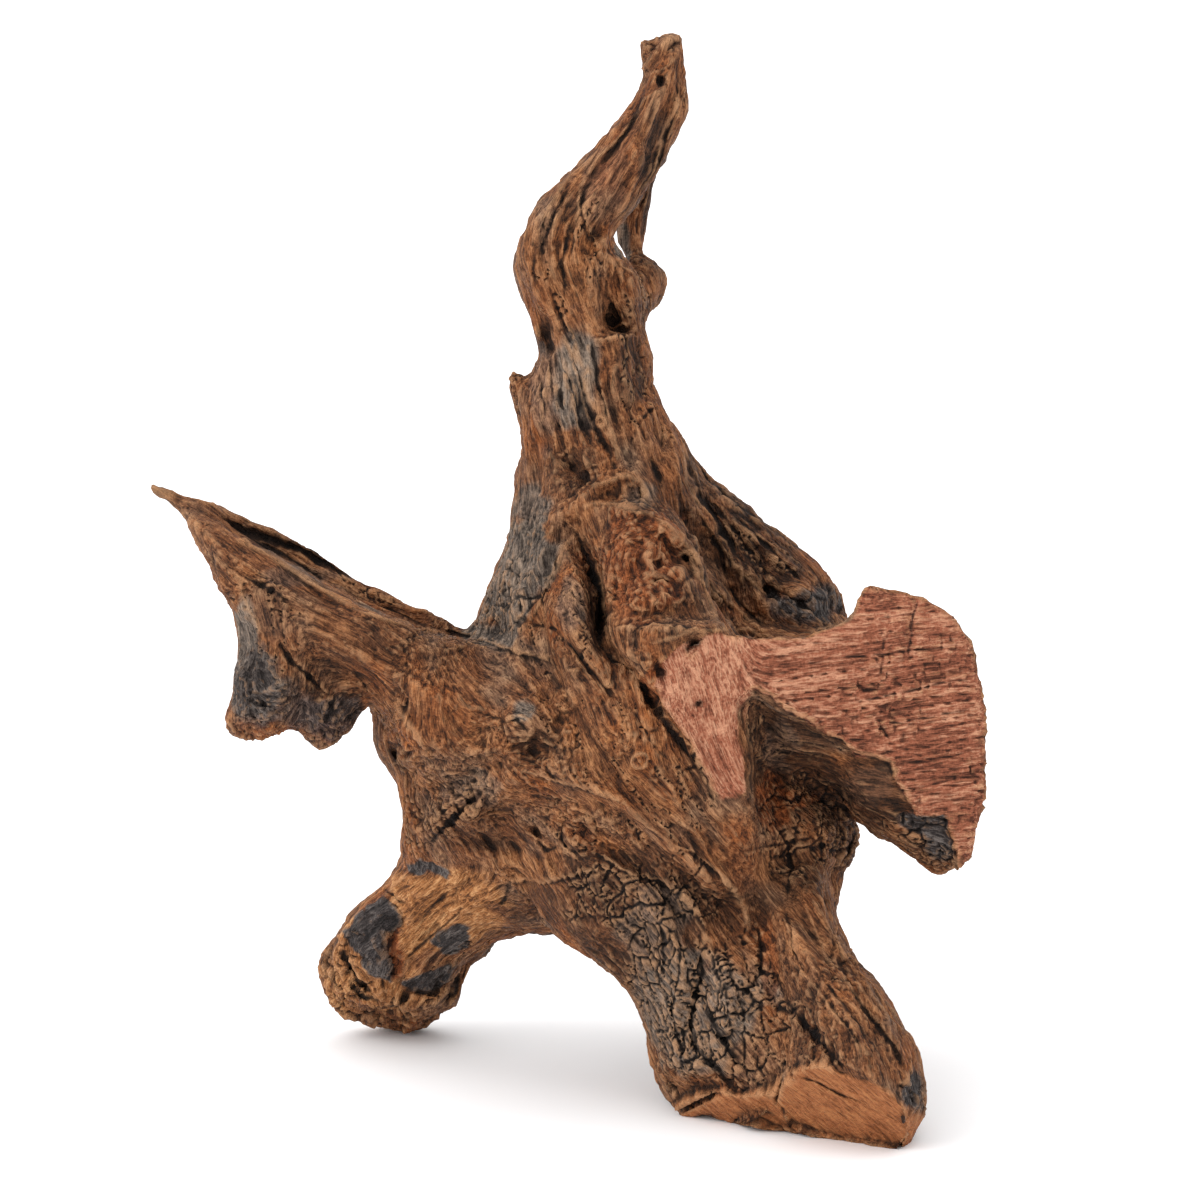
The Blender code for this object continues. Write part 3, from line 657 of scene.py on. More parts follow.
# The strokes: half width in steps, height in millimetres, and points in steps.
STROKES: dict[Cut, list[tuple[float, float, Line]]] = {
    Cut.CRACK: [
        # the spire
        (3, -3.0, [(682, 85), (675, 110), (666, 131), (659, 158), (648, 185), (637, 205)]),
        (2.5, -1.8, [(640, 101), (630, 120), (618, 138), (602, 156)]),
        (2.5, -1.8, [(587, 180), (580, 203), (585, 221), (590, 240)]),
        (2.5, -1.6, [(566, 186), (556, 205), (548, 225), (541, 250)]),
        (2.5, -1.8, [(571, 215), (566, 238), (562, 262), (566, 290)]),
        (2.5, -1.6, [(594, 263), (600, 280), (598, 300)]),
        (2.5, -1.6, [(536, 240), (532, 262), (536, 285)]),
        (2, -1.6, [(603, 232), (612, 252), (624, 268)]),
        (4, -4.5, [(660, 68), (663, 76)]),
        (3, -3.0, [(677, 76), (677, 87)]),
        # the fluted neck
        (3, -2.4, [(594, 337), (592, 345), (594, 357), (597, 372), (598, 383), (603, 399), (607, 418),
                   (613, 431)]),
        (2.5, -1.8, [(558, 345), (566, 372), (574, 395), (582, 420), (594, 446)]),
        (2.5, -1.8, [(570, 345), (578, 368), (584, 392), (590, 412), (602, 438), (612, 456)]),
        (2.5, -2.2, [(559, 387), (562, 402), (566, 414)]),
        (2.5, -1.6, [(561, 418), (567, 429)]),
        (2.5, -1.4, [(540, 372), (542, 395), (545, 420)]),
        (2.5, -1.5, [(549, 350), (551, 375), (554, 398)]),
        (3, -3.0, [(664, 428), (660, 436), (661, 447)]),
        (3, -2.5, [(651, 458), (656, 470), (662, 481)]),
        (3, -2.5, [(640, 421), (648, 411), (656, 404)]),
        # the buttress
        (3, -2.4, [(690, 465), (700, 490), (716, 515), (730, 540), (738, 562)]),
        (3, -2.6, [(692, 452), (712, 480), (735, 505), (762, 532)]),
        (3, -2.2, [(698, 512), (712, 535), (722, 556), (727, 575)]),
        (2.5, -2.2, [(712, 500), (735, 530), (752, 552), (768, 574)]),
        (2.5, -2.2, [(728, 506), (752, 530), (775, 553), (802, 580)]),
        (3, -2.5, [(716, 575), (735, 597), (750, 614), (765, 626)]),
        (2.5, -2.2, [(700, 565), (716, 592), (738, 618)]),
        (3, -2.2, [(770, 588), (795, 598), (812, 612), (834, 622)]),
        (3, -2.2, [(800, 586), (812, 596), (830, 600)]),
        # the cleft beside the burl, and the cracks below it
        (6, -6.0, [(575, 530), (582, 543), (590, 562), (594, 578), (600, 593), (601, 608), (598, 631),
                   (602, 647)]),
        (5, -9.0, [(600, 596), (600, 612), (598, 640)]),
        (3, -4.0, [(602, 647), (611, 660), (625, 666), (632, 671), (640, 681), (644, 691), (651, 702),
                   (661, 715)]),
        (3, -3.0, [(661, 715), (668, 729), (681, 744), (695, 764), (707, 779), (711, 799)]),
        (5, -7.0, [(643, 686), (648, 698), (653, 708)]),
        (3.5, -4.0, [(531, 624), (542, 626), (554, 628), (563, 637), (575, 652), (586, 666), (598, 679),
                     (611, 691)]),
        (2.5, -2.0, [(679, 772), (695, 767)]),
        (3, -3.0, [(638, 483), (641, 492), (640, 502), (636, 509)]),
        (3, -3.5, [(651, 586), (655, 581), (662, 579), (669, 582)]),
        (2.5, -2.5, [(494, 604), (508, 606), (504, 616)]),
        (2.5, -2.0, [(477, 710), (487, 715), (505, 722), (517, 720), (528, 730), (533, 745)]),
        (2.5, -2.0, [(648, 733), (659, 729)]),
        (2.5, -1.6, [(626, 705), (640, 722), (652, 745), (668, 760)]),
        # the flank
        (4, -5.0, [(482, 792), (470, 803), (460, 812), (450, 822), (441, 831), (431, 843)]),
        (3, -2.5, [(440, 803), (443, 810), (446, 817)]),
        (3, -2.5, [(545, 768), (551, 776), (560, 780)]),
        (3, -3.0, [(563, 823), (562, 838), (570, 850), (584, 852)]),
        (2.5, -2.2, [(584, 812), (594, 818), (598, 832)]),
        (3, -2.5, [(538, 842), (546, 850), (556, 848)]),
        (3, -3.0, [(509, 886), (505, 895), (501, 906)]),
        # the arm
        (4, -4.5, [(218, 518), (241, 529), (271, 538), (292, 546), (312, 556), (333, 568), (351, 576),
                   (374, 589)]),
        (2.5, -2.0, [(243, 532), (262, 543), (285, 555), (310, 571), (335, 586), (360, 599), (390, 610),
                     (420, 623)]),
        (3, -3.4, [(279, 642), (292, 662), (310, 678), (325, 693)]),
        (2.5, -2.6, [(335, 698), (331, 706), (332, 714), (326, 724)]),
        (2.5, -2.0, [(243, 576), (267, 586), (288, 601)]),
        (3, -3.0, [(352, 672), (362, 680), (372, 692)]),
        (2.5, -2.2, [(247, 700), (262, 706), (275, 700)]),
        # the slab and the flap
        (2.5, -1.2, [(919, 599), (911, 620), (911, 638), (908, 652), (911, 659)]),
        (2.5, -1.5, [(855, 682), (863, 690), (872, 691)]),
        (2.5, -1.5, [(876, 718), (888, 739)]),
        (2.0, -0.8, [(778, 667), (837, 659), (904, 652), (960, 644)]),
        (2.0, -0.8, [(835, 709), (915, 689), (980, 675)]),
        (2.0, -0.8, [(865, 728), (922, 718), (984, 707)]),
        (2.0, -0.9, [(892, 764), (950, 757), (986, 746)]),
        (2.0, -0.8, [(904, 790), (984, 774)]),
        # under the slab
        (2.5, -2.2, [(756, 716), (759, 739)]),
        (3, -2.4, [(812, 762), (818, 772), (815, 783)]),
        (5, -5.0, [(816, 783), (830, 786), (842, 803), (850, 817), (858, 826)]),
        (2.5, -2.0, [(772, 806), (775, 829), (786, 843), (790, 870), (786, 900)]),
        (2.5, -1.6, [(745, 850), (768, 846), (790, 842), (812, 836)]),
        (2.5, -1.6, [(762, 790), (790, 802), (812, 790)]),
        (2.5, -1.6, [(812, 820), (822, 846), (818, 870)]),
        (3, -3.0, [(853, 835), (848, 850), (840, 860)]),
        # the leg
        (3.5, -3.4, [(700, 930), (700, 948), (702, 970), (695, 996), (691, 1024), (693, 1042),
                     (704, 1057), (736, 1089)]),
        (3, -3.0, [(757, 927), (760, 944), (760, 970), (750, 987), (741, 994)]),
        (6, -5.0, [(776, 975), (786, 1000), (802, 1020), (815, 1035), (830, 1052), (845, 1070)]),
        (3, -2.6, [(706, 1005), (713, 1024), (721, 1037), (730, 1048), (739, 1059)]),
        (2.5, -2.2, [(655, 905), (662, 930), (664, 960), (660, 985)]),
        (2.5, -2.2, [(675, 925), (680, 950), (678, 980), (672, 1010), (678, 1040), (690, 1070)]),
        (2.5, -2.4, [(783, 905), (790, 930), (794, 952), (806, 975)]),
        (2.5, -1.8, [(812, 962), (840, 1000), (868, 1035), (886, 1068)]),
        (2.5, -1.8, [(836, 978), (862, 1005), (890, 1042), (906, 1075)]),
        (2.5, -1.8, [(825, 1000), (845, 1025), (862, 1052)]),
        (2.5, -2.4, [(802, 1070), (812, 1076), (823, 1083), (836, 1092), (856, 1102)]),
        # the left foot
        (6, -7.0, [(464, 962), (459, 977), (455, 992), (442, 1003)]),
        (3, -2.5, [(411, 992), (425, 993), (440, 989)]),
        (4, -3.0, [(371, 1013), (385, 1010), (398, 1006), (409, 994)]),
        (4, -2.5, [(348, 982), (362, 994), (380, 1005)]),
        (3, -3.0, [(384, 888), (395, 895), (407, 903)]),
        (2.5, -1.6, [(402, 962), (425, 942), (450, 920), (470, 902)]),
        (2.5, -1.6, [(418, 925), (435, 905), (452, 890)]),
        (3, -2.6, [(338, 950), (350, 962), (358, 980), (372, 992)]),
    ],
    Cut.HOLLOW: [
        # the hole and the hollows of the neck
        (6, -4.0, [(545, 328), (549, 338), (552, 348)]),
        (15, -4.5, [(604, 311), (614, 317), (622, 317)]),
        (5, -4.5, [(600, 327), (612, 328), (630, 325)]),
        (13, -2.6, [(566, 450), (578, 468), (588, 480)]),
        (12, -2.2, [(575, 372), (582, 400), (592, 430)]),
        (10, -2.0, [(634, 490), (632, 500)]),
        # the burl
        (8, -5.0, [(656, 559), (661, 568)]),
        (6, -5.5, [(684, 552), (689, 560)]),
        (6, -1.4, [(632, 532), (644, 548), (640, 562), (646, 584), (640, 604)]),
        (5, -1.2, [(612, 560), (618, 580), (614, 604)]),
        (12, 1.6, [(640, 520), (662, 534)]),
        # the rotten knot
        (6, -5.0, [(762, 589), (768, 591)]),
        (9, -6.0, [(834, 607), (842, 611)]),
        # the flap
        (8, -6.0, [(685, 651), (692, 646), (699, 641)]),
        (9, -3.0, [(655, 660), (662, 676)]),
        (4, -2.5, [(697, 702), (700, 705)]),
        # the flank
        (9, -4.0, [(528, 747), (539, 757)]),
        (5, -4.5, [(536, 829), (540, 836)]),
        (6, -6.0, [(396, 751), (400, 756)]),
        (16, -4.0, [(455, 838), (480, 842), (505, 846)]),
        (14, -3.0, [(480, 800), (515, 815)]),
        (14, 3.0, [(432, 822), (455, 798), (482, 780)]),
        (12, -3.0, [(556, 716), (566, 724)]),
        # the arm
        (15, -4.5, [(302, 656), (325, 666), (350, 674)]),
        (12, -3.0, [(262, 668), (270, 690)]),
        (12, 2.5, [(238, 715), (246, 725)]),
        # under the slab
        (7, -5.0, [(856, 824), (868, 828)]),
        (16, -3.0, [(775, 760), (790, 790)]),
        # the leg
        (9, -3.5, [(836, 956), (850, 970), (862, 980)]),
        (8, -4.0, [(908, 1068), (914, 1092)]),
        (12, -3.0, [(724, 890), (738, 915)]),
        (12, -3.5, [(600, 872), (622, 884)]),
        (18, 2.0, [(724, 1000), (738, 1030)]),
        # the left foot
        (16, -8.0, [(400, 908), (392, 944), (396, 974)]),
        (18, 4.0, [(356, 905), (340, 940)]),
        (12, 4.0, [(470, 900), (440, 935), (418, 962)]),
        (11, 3.0, [(346, 984), (362, 1002)]),
        (10, 3.0, [(395, 990), (376, 998)]),
        (10, 3.0, [(420, 1012), (440, 1014)]),
    ],
    Cut.RIDGE: [
        # the spire
        (3, 1.3, [(684, 69), (680, 81), (673, 110), (662, 135), (656, 162), (646, 181), (635, 203),
                  (621, 215)]),
        (3, 1.2, [(678, 46), (673, 53), (666, 58), (651, 64), (646, 69)]),
        (3.5, 1.3, [(659, 83), (646, 90), (639, 101), (630, 115), (616, 135), (603, 146), (594, 156),
                    (582, 181)]),
        (3.5, 1.3, [(582, 181), (579, 196), (575, 221), (573, 240), (570, 262)]),
        (3, 1.2, [(573, 165), (560, 181), (551, 199), (539, 221), (528, 247)]),
        (3, 1.2, [(587, 210), (591, 228), (601, 249), (616, 264), (621, 278)]),
        (3, 1.2, [(605, 247), (619, 260), (632, 267), (642, 274), (644, 285)]),
        # the neck
        (3, 1.2, [(570, 324), (575, 343), (582, 362), (586, 387), (592, 404), (600, 422), (613, 443),
                  (622, 458)]),
        (3, 1.2, [(564, 337), (573, 360), (580, 381), (584, 399), (590, 420), (601, 443)]),
        (3, 1.2, [(600, 392), (604, 410), (611, 429), (620, 452)]),
        (3, 1.2, [(668, 423), (680, 426), (683, 446), (686, 464), (688, 481), (697, 496), (707, 508),
                  (726, 536)]),
        # the fold and the burl
        (5, 2.0, [(592, 486), (598, 483), (609, 480), (619, 476), (628, 475), (638, 479)]),
        (4, 1.8, [(584, 506), (598, 502), (613, 502), (626, 507), (640, 510), (653, 514), (663, 523),
                  (688, 542)]),
        (4, 1.8, [(688, 542), (697, 556), (703, 575), (708, 600), (716, 622)]),
        (4, 1.8, [(582, 532), (592, 553), (598, 574), (606, 603), (606, 624), (613, 641), (623, 658),
                  (638, 668)]),
        (4, 1.6, [(573, 536), (561, 549), (552, 570), (544, 591), (536, 610), (533, 618)]),
        # the buttress
        (3, 1.3, [(693, 567), (715, 590), (740, 612), (764, 633)]),
        (3, 1.3, [(684, 548), (698, 578), (716, 606), (735, 625)]),
        (3, 1.2, [(704, 520), (722, 548), (744, 574), (770, 600), (800, 628)]),
        # the flap's rim
        (3, 1.2, [(653, 643), (667, 639), (686, 633), (707, 631), (728, 628), (747, 631), (759, 636),
                  (782, 637)]),
        (3, 1.2, [(782, 637), (801, 633), (821, 629), (840, 624), (853, 615), (859, 604)]),
        # the arm
        (4, 1.7, [(237, 538), (251, 544), (269, 554), (288, 566), (306, 580), (326, 593), (343, 601),
                  (363, 611)]),
        (4, 1.7, [(363, 611), (384, 619), (404, 623), (424, 629), (450, 634)]),
        (3, 1.2, [(200, 499), (225, 509), (251, 521), (271, 531), (300, 545), (335, 562), (370, 582),
                  (440, 618)]),
        (5, 1.6, [(236, 572), (243, 595), (250, 615), (262, 632)]),
        (5, 1.8, [(395, 700), (402, 715), (418, 735), (430, 755)]),
        # the leg
        (3, 1.2, [(804, 905), (815, 930), (825, 957), (851, 992), (882, 1026), (904, 1061)]),
        (3, 1.2, [(791, 961), (817, 992), (838, 1020), (860, 1048), (871, 1068)]),
        (4, 1.8, [(723, 879), (741, 905), (750, 927)]),
    ],
    Cut.LIP: [
        (9, 2.0, [(594, 336), (607, 333), (623, 331), (634, 332)]),
        (10, 1.8, [(607, 627), (625, 626), (640, 625), (653, 624), (670, 624), (699, 628), (716, 629),
                   (739, 628)]),
        (12, 2.4, [(714, 806), (709, 790), (700, 771), (688, 748), (667, 725), (654, 698), (640, 670)]),
        (8, 1.8, [(747, 691), (746, 734), (750, 762), (748, 792)]),
        (10, 2.4, [(915, 815), (906, 799), (895, 780), (890, 764), (876, 757), (853, 755), (840, 741),
                   (824, 734)]),
        (10, 2.4, [(824, 734), (805, 718), (787, 711), (769, 695), (755, 690), (748, 691)]),
        (12, 2.4, [(625, 807), (608, 798), (582, 790), (560, 783), (538, 777), (517, 772)]),
        (12, 2.8, [(704, 927), (695, 914), (682, 896), (665, 883), (632, 875), (610, 862), (598, 855)]),
        (10, 2.4, [(600, 868), (569, 879), (545, 882), (527, 881), (508, 884)]),
        (9, 2.2, [(741, 905), (730, 890), (717, 872), (700, 858), (684, 848)]),
        (9, 2.0, [(560, 549), (552, 570), (544, 591), (534, 616)]),
        (8, 2.5, [(456, 966), (450, 984), (430, 992), (411, 990)]),
        (7, 2.2, [(385, 896), (402, 911), (404, 924), (388, 932), (385, 948), (394, 966), (391, 981)]),
        (12, 2.0, [(560, 664), (520, 655), (480, 640), (440, 628)]),
    ],
}


# Soft marks on the skin: x, y and the two half sizes in steps, and how strong.
PATCHES: dict[Mark, list[tuple[float, float, float, float, float]]] = {
    Mark.CHARRED: [
        (258, 695, 26, 40, 0.65), (290, 706, 30, 24, 0.55), (335, 718, 30, 26, 0.6), (928, 824, 26, 12, 0.9),
        (938, 846, 20, 16, 0.8), (808, 604, 42, 18, 0.8), (697, 650, 16, 9, 0.8), (912, 1088, 9, 22, 0.8),
    ],
    Mark.CHECKED: [
        (640, 900, 74, 34, 1.0), (600, 890, 40, 26, 0.9), (655, 960, 34, 60, 1.0), (706, 1005, 60, 78, 1.0),
        (748, 1035, 52, 52, 1.0), (690, 880, 26, 30, 0.8), (800, 830, 46, 56, 0.8), (925, 842, 46, 26, 1.0),
        (506, 600, 40, 40, 0.7), (265, 715, 40, 34, 0.2), (335, 724, 30, 28, 0.2), (460, 800, 34, 22, 0.7),
        (840, 965, 16, 30, 0.7), (420, 830, 30, 30, 0.5),
    ],
    Mark.GREYED: [
        (530, 505, 24, 22, 0.7), (520, 556, 32, 40, 1.0), (500, 600, 34, 30, 1.0), (492, 634, 26, 14, 0.9),
        (574, 388, 24, 60, 0.75), (545, 400, 18, 50, 0.4), (242, 640, 12, 46, 0.8), (258, 690, 30, 34, 0.9),
        (700, 1010, 62, 62, 0.7), (655, 930, 40, 50, 0.45), (470, 792, 34, 18, 0.4), (622, 240, 8, 20, 0.9),
        (525, 712, 13, 11, 0.9), (868, 786, 30, 20, 0.2), (570, 600, 14, 30, 0.4), (780, 740, 20, 30, 0.3),
        (545, 222, 12, 34, 0.35), (600, 180, 30, 50, 0.3), (640, 495, 20, 14, 0.5), (300, 575, 50, 10, 0.4),
    ],
    # Painted shade: darker patches where shade falls, such as the spire's right side, the clefts, the
    # buttress, under the slab and under the arch.
    Mark.PAINTED_SHADE: [
        (632, 372, 15, 40, 1.0), (662, 572, 34, 36, 0.8), (755, 550, 54, 56, 0.9), (800, 620, 40, 14, 0.8),
        (790, 745, 46, 62, 0.8), (570, 905, 70, 22, 0.6), (325, 704, 34, 34, 0.8), (620, 885, 64, 34, 0.8),
        (598, 610, 14, 50, 0.9), (800, 870, 30, 46, 0.6), (576, 464, 26, 22, 0.8), (545, 336, 9, 18, 0.9),
        (656, 200, 16, 90, 1.0), (540, 745, 26, 16, 0.6), (745, 905, 26, 26, 0.6), (810, 1030, 20, 60, 0.6),
        (850, 800, 50, 40, 0.9), (400, 760, 16, 20, 0.6), (470, 830, 60, 20, 0.5), (855, 850, 24, 30, 0.8),
        (300, 545, 70, 10, 0.6), (640, 270, 26, 26, 0.4), (720, 640, 60, 10, 0.3), (590, 660, 40, 24, 0.4),
        (650, 925, 84, 60, 0.8), (650, 550, 56, 60, 0.9), (640, 310, 20, 30, 0.6), (300, 700, 60, 30, 0.4),
        (700, 470, 24, 40, 0.6), (395, 640, 90, 26, 0.4), (925, 838, 40, 26, 0.4),
    ],
    Mark.OCHRE: [
        (432, 915, 60, 44, 1.0), (400, 990, 50, 24, 0.6), (352, 965, 24, 44, 0.7), (600, 765, 70, 46, 0.2),
        (430, 640, 110, 26, 0.1), (520, 870, 40, 20, 0.3), (310, 590, 60, 20, 0.1), (560, 240, 50, 50, 0.25),
    ],
    Mark.RED: [
        (642, 560, 44, 56, 0.6), (664, 678, 16, 22, 0.9), (770, 806, 14, 30, 0.9), (790, 798, 26, 8, 0.8),
        (742, 850, 20, 40, 0.3), (768, 960, 8, 36, 0.45), (393, 948, 12, 30, 0.9), (250, 730, 20, 12, 0.4),
        (700, 420, 20, 30, 0.3), (620, 150, 20, 60, 0.3), (338, 735, 26, 12, 0.5),
    ],
    Mark.ROPY: [
        (600, 160, 90, 150, 0.55), (575, 400, 56, 80, 0.7), (740, 545, 74, 80, 1.0),
        (850, 1010, 66, 74, 0.9), (300, 560, 110, 46, 0.9), (720, 610, 60, 20, 0.7),
        (600, 760, 80, 60, 0.3), (800, 900, 40, 60, 0.7),
    ],
    Mark.GNARLED: [
        (640, 560, 56, 60, 0.9), (480, 775, 90, 50, 0.8), (578, 462, 28, 24, 1.0), (535, 745, 40, 26, 1.0),
        (575, 830, 40, 30, 0.9), (668, 690, 22, 30, 0.9), (600, 680, 30, 30, 0.5), (640, 745, 40, 24, 0.4),
        (430, 640, 60, 16, 0.5), (525, 530, 30, 30, 0.6), (262, 700, 36, 44, 0.8), (332, 712, 32, 34, 0.8),
        (345, 990, 40, 40, 0.6),
    ],
    Mark.BROKEN: [
        (344, 975, 30, 50, 0.9), (400, 1016, 66, 22, 0.9), (456, 990, 20, 34, 0.6), (236, 730, 24, 16, 0.8),
        (330, 745, 34, 14, 0.8), (992, 720, 7, 110, 0.2), (930, 862, 44, 18, 1.0), (808, 604, 42, 20, 1.0),
        (912, 1085, 13, 36, 1.0), (855, 850, 22, 26, 1.0), (660, 30, 24, 10, 0.6), (416, 790, 20, 60, 0.8),
        (920, 596, 50, 9, 0.3), (842, 960, 14, 34, 0.8), (660, 1080, 16, 40, 0.7),
    ],
}


@dataclass(frozen=True)
class Outline:
    """A place on the front view with an edge, drawn as its corners in steps."""

    corners: Line

    FAR = 12.0

    def depth(self, places: Array) -> Array:
        """How deep inside the edge each place lies.

        Args:
            places: Grid places, one row each.

        Returns:
            Steps, negative outside, and no lower than where the edge stops mattering.
        """
        corners = np.array(self.corners, float)
        low, high = corners.min(axis=0) - self.FAR, corners.max(axis=0) + self.FAR
        inside = np.nonzero(np.all((places[:, :2] > low) & (places[:, :2] < high), axis=1))[0]
        spots = places[inside, :2]
        gap = np.full(len(inside), np.inf)
        within = np.zeros(len(inside), bool)
        for start, end in zip(corners, np.roll(corners, -1, axis=0)):
            way = end - start
            offset = spots - start
            share = np.clip(offset @ way / (way @ way), 0, 1)
            gap = np.minimum(gap, np.linalg.norm(offset - share[:, None] * way, axis=1))
            crosses = (start[1] > spots[:, 1]) != (end[1] > spots[:, 1])
            level = np.where(abs(way[1]) < TINY, TINY, way[1])
            within ^= crosses & (offset[:, 0] < offset[:, 1] * way[0] / level)
        depth = np.full(len(places), -self.FAR)
        depth[inside] = np.maximum(np.where(within, gap, -gap), -self.FAR)
        return depth


# Marks with an edge.
OUTLINES: dict[Mark, list[Line]] = {
    Mark.CHARRED: [
        [(385, 896), (402, 911), (404, 924), (388, 932), (385, 948), (394, 966), (391, 981), (372, 974),
         (361, 957), (341, 938), (354, 920), (367, 909)],
        [(430, 942), (439, 931), (456, 925), (469, 924), (469, 947), (452, 956), (440, 950)],
        [(400, 981), (421, 975), (447, 965), (456, 966), (450, 984), (430, 992), (411, 990)],
        [(408, 868), (421, 859), (435, 864), (452, 872), (448, 879), (430, 870), (423, 876)],
    ],
    Mark.SAWN: [
        [(748, 690), (755, 690), (769, 695), (787, 711), (805, 718), (824, 734), (840, 741), (853, 755),
         (876, 757), (890, 764), (895, 780), (906, 799), (915, 815), (943, 815), (950, 831), (954, 847),
         (958, 872), (1010, 860), (1010, 560), (858, 560), (859, 604), (853, 616), (840, 625), (821, 630),
         (801, 635), (782, 639), (759, 638), (747, 634), (728, 632), (707, 635), (690, 640), (676, 650),
         (664, 664), (655, 684), (667, 715), (688, 740), (700, 764), (711, 786), (722, 800), (748, 792),
         (749, 762), (745, 734)],
    ],
    Mark.SAWN_END: [
        [(676, 1099), (682, 1093), (698, 1087), (721, 1085), (741, 1091), (752, 1087), (773, 1078),
         (784, 1066), (797, 1061), (815, 1053), (828, 1061), (838, 1070), (851, 1076), (871, 1081),
         (893, 1091), (904, 1102), (924, 1108), (930, 1130), (893, 1152), (800, 1152), (730, 1142),
         (684, 1122)],
    ],
}

# The scorched hollow near the flap's upper left corner.
FLAP_SCORCH: Line = [(676, 652), (690, 640), (706, 642), (700, 656)]


class Skin:
    """The skin's points as arrays, and the sums over neighbours that the carving needs."""

    def __init__(self, mesh: bpy.types.Mesh) -> None:
        """Reads the mesh.

        Args:
            mesh: The skin's mesh.
        """
        self.mesh = mesh
        ends = np.empty(len(mesh.edges) * 2, np.int32)
        mesh.edges.foreach_get("vertices", ends)
        ends = ends.reshape(-1, 2)
        self.here, self.there = np.concatenate([ends, ends[:, ::-1]]).T
        self.count = np.bincount(self.here, minlength=len(mesh.vertices))
        self.points = np.empty((len(mesh.vertices), 3))
        self.read()

    def read(self) -> None:
        """Reads the points and normals again."""
        flat = np.empty(self.points.size)
        self.mesh.vertices.foreach_get("co", flat)
        self.points = flat.reshape(-1, 3).copy()
        self.mesh.vertices.foreach_get("normal", flat)
        self.normals = flat.reshape(-1, 3).copy()

    def move(self, points: Array) -> None:
        """Puts the points at new places and works out the normals again.

        Args:
            points: The new places, one row each.
        """
        self.mesh.vertices.foreach_set("co", points.ravel())
        self.mesh.update()
        self.read()

    def around(self, values: Array) -> Array:
        """The mean of each point's neighbours.

        Args:
            values: One number each.

        Returns:
            As many.
        """
        return np.bincount(self.here, values[self.there], len(values)) / self.count

    def spread(self, values: Array, times: int) -> Array:
        """Evens values out.

        Args:
            values: One number each.
            times: How often each is mixed with its neighbours.

        Returns:
            As many.
        """
        for _ in range(times):
            values = (values + self.around(values)) / 2
        return values

    def evened(self, times: int) -> Array:
        """The points after the skin has been evened.

        Args:
            times: How often each point is mixed with its neighbours.

        Returns:
            The points, one row each.
        """
        twin = bpy.data.objects.new("evened", self.mesh.copy())
        bpy.context.scene.collection.objects.link(twin)
        smooth = twin.modifiers.new("Even", "SMOOTH")
        smooth.factor = 0.5
        smooth.iterations = times
        apply_modifiers(twin)
        flat = np.empty(self.points.size)
        twin.data.vertices.foreach_get("co", flat)
        mesh = twin.data
        bpy.data.objects.remove(twin)
        bpy.data.meshes.remove(mesh)
        return flat.reshape(-1, 3)

    def sunk(self, times: int) -> Array:
        """How far each point lies below the evened skin.

        Args:
            times: How far the skin is evened.

        Returns:
            Millimetres, positive in a hollow.
        """
        return np.einsum("ij,ij->i", self.evened(times) - self.points, self.normals) / MM

    def keep(self, mark: Mark, values: Array) -> None:
        """Keeps a number for each point on the mesh."""
        layer = self.mesh.attributes.new(mark.value, "FLOAT", "POINT")
        layer.data.foreach_set("value", values.astype(np.float32))


def apply_modifiers(obj: bpy.types.Object) -> None:
    """Puts the object's evaluated shape into its own mesh.

    Args:
        obj: The object. Its modifiers are removed.
    """
    graph = bpy.context.evaluated_depsgraph_get()
    shaped = bpy.data.meshes.new_from_object(obj.evaluated_get(graph))
    obj.modifiers.clear()
    old, obj.data = obj.data, shaped
    bpy.data.meshes.remove(old)


@dataclass(frozen=True)
class MarkRules:
    """How the marks set in: sizes in millimetres, and pairs of values between which a mark grows."""

    ragged_size: float = 11.0
    ragged: float = 0.4
    patch: tuple[float, float] = (1.25, 0.75)
    behind: tuple[float, float] = (0.0, 0.3)
    unseen_size: float = 45.0
    unseen: tuple[float, float] = (0.2, 0.7)
    unseen_share: float = 0.5
    edge_size: float = 4.0
    edge_swing: float = 2.0
    sawn_edge_share: float = 0.4
    edge: tuple[float, float] = (-1.5, 1.5)
    facing: tuple[float, float] = (0.0, 0.4)
    slab_facing: tuple[float, float] = (0.35, 0.7)
    foot_faces: tuple[float, float, float] = (0.55, -0.7, -0.45)
    foot_facing: tuple[float, float] = (-0.1, 0.25)
    scorch_edge: float = 3.0
    scorch_share: float = 0.8


@dataclass(frozen=True)
class Relief:
    """The relief that weather leaves: heights and sizes in millimetres.

    A pair gives the two values of a random field between which a form sets in.
    """

    strand: float = 0.45
    fibre: float = 0.2
    crest: float = 0.8
    lump: float = 0.6
    lump_size: float = 9.0
    swell: float = 0.9
    swell_size: float = 24.0
    rope: float = 1.0
    rope_range: tuple[float, float] = (-1.0, 0.6)
    curl: float = 1.28
    curl_crest: float = 0.35
    curl_size: float = 4.2
    rings: float = 0.5
    split: float = 1.2
    split_width: tuple[float, float] = (0.1, 0.0)
    open_size: float = 40.0
    open_here: tuple[float, float] = (0.0, 0.4)
    block: float = 0.35
    seam: float = 1.3
    chunk: float = 1.5
    chunk_size: float = 13.0
    chip: float = 0.3
    chip_size: float = 4.5
    bent: float = 0.3
    gap: float = 1.0
    gap_width: tuple[float, float] = (0.12, 0.02)
    gap_shade: tuple[float, float] = (0.12, 0.0)
    gap_dark: float = 0.6
    pit: float = 1.3
    pit_size: float = 8.0
    pit_width: tuple[float, float] = (0.17, 0.07)
    pitted_size: float = 30.0
    pitted_here: tuple[float, float] = (0.45, 0.7)
    sawn_share: float = 0.9
    sawn_fibre: float = 0.1
    flap_strand: float = 0.3
    above_floor: tuple[float, float] = (0.2, 3.0)


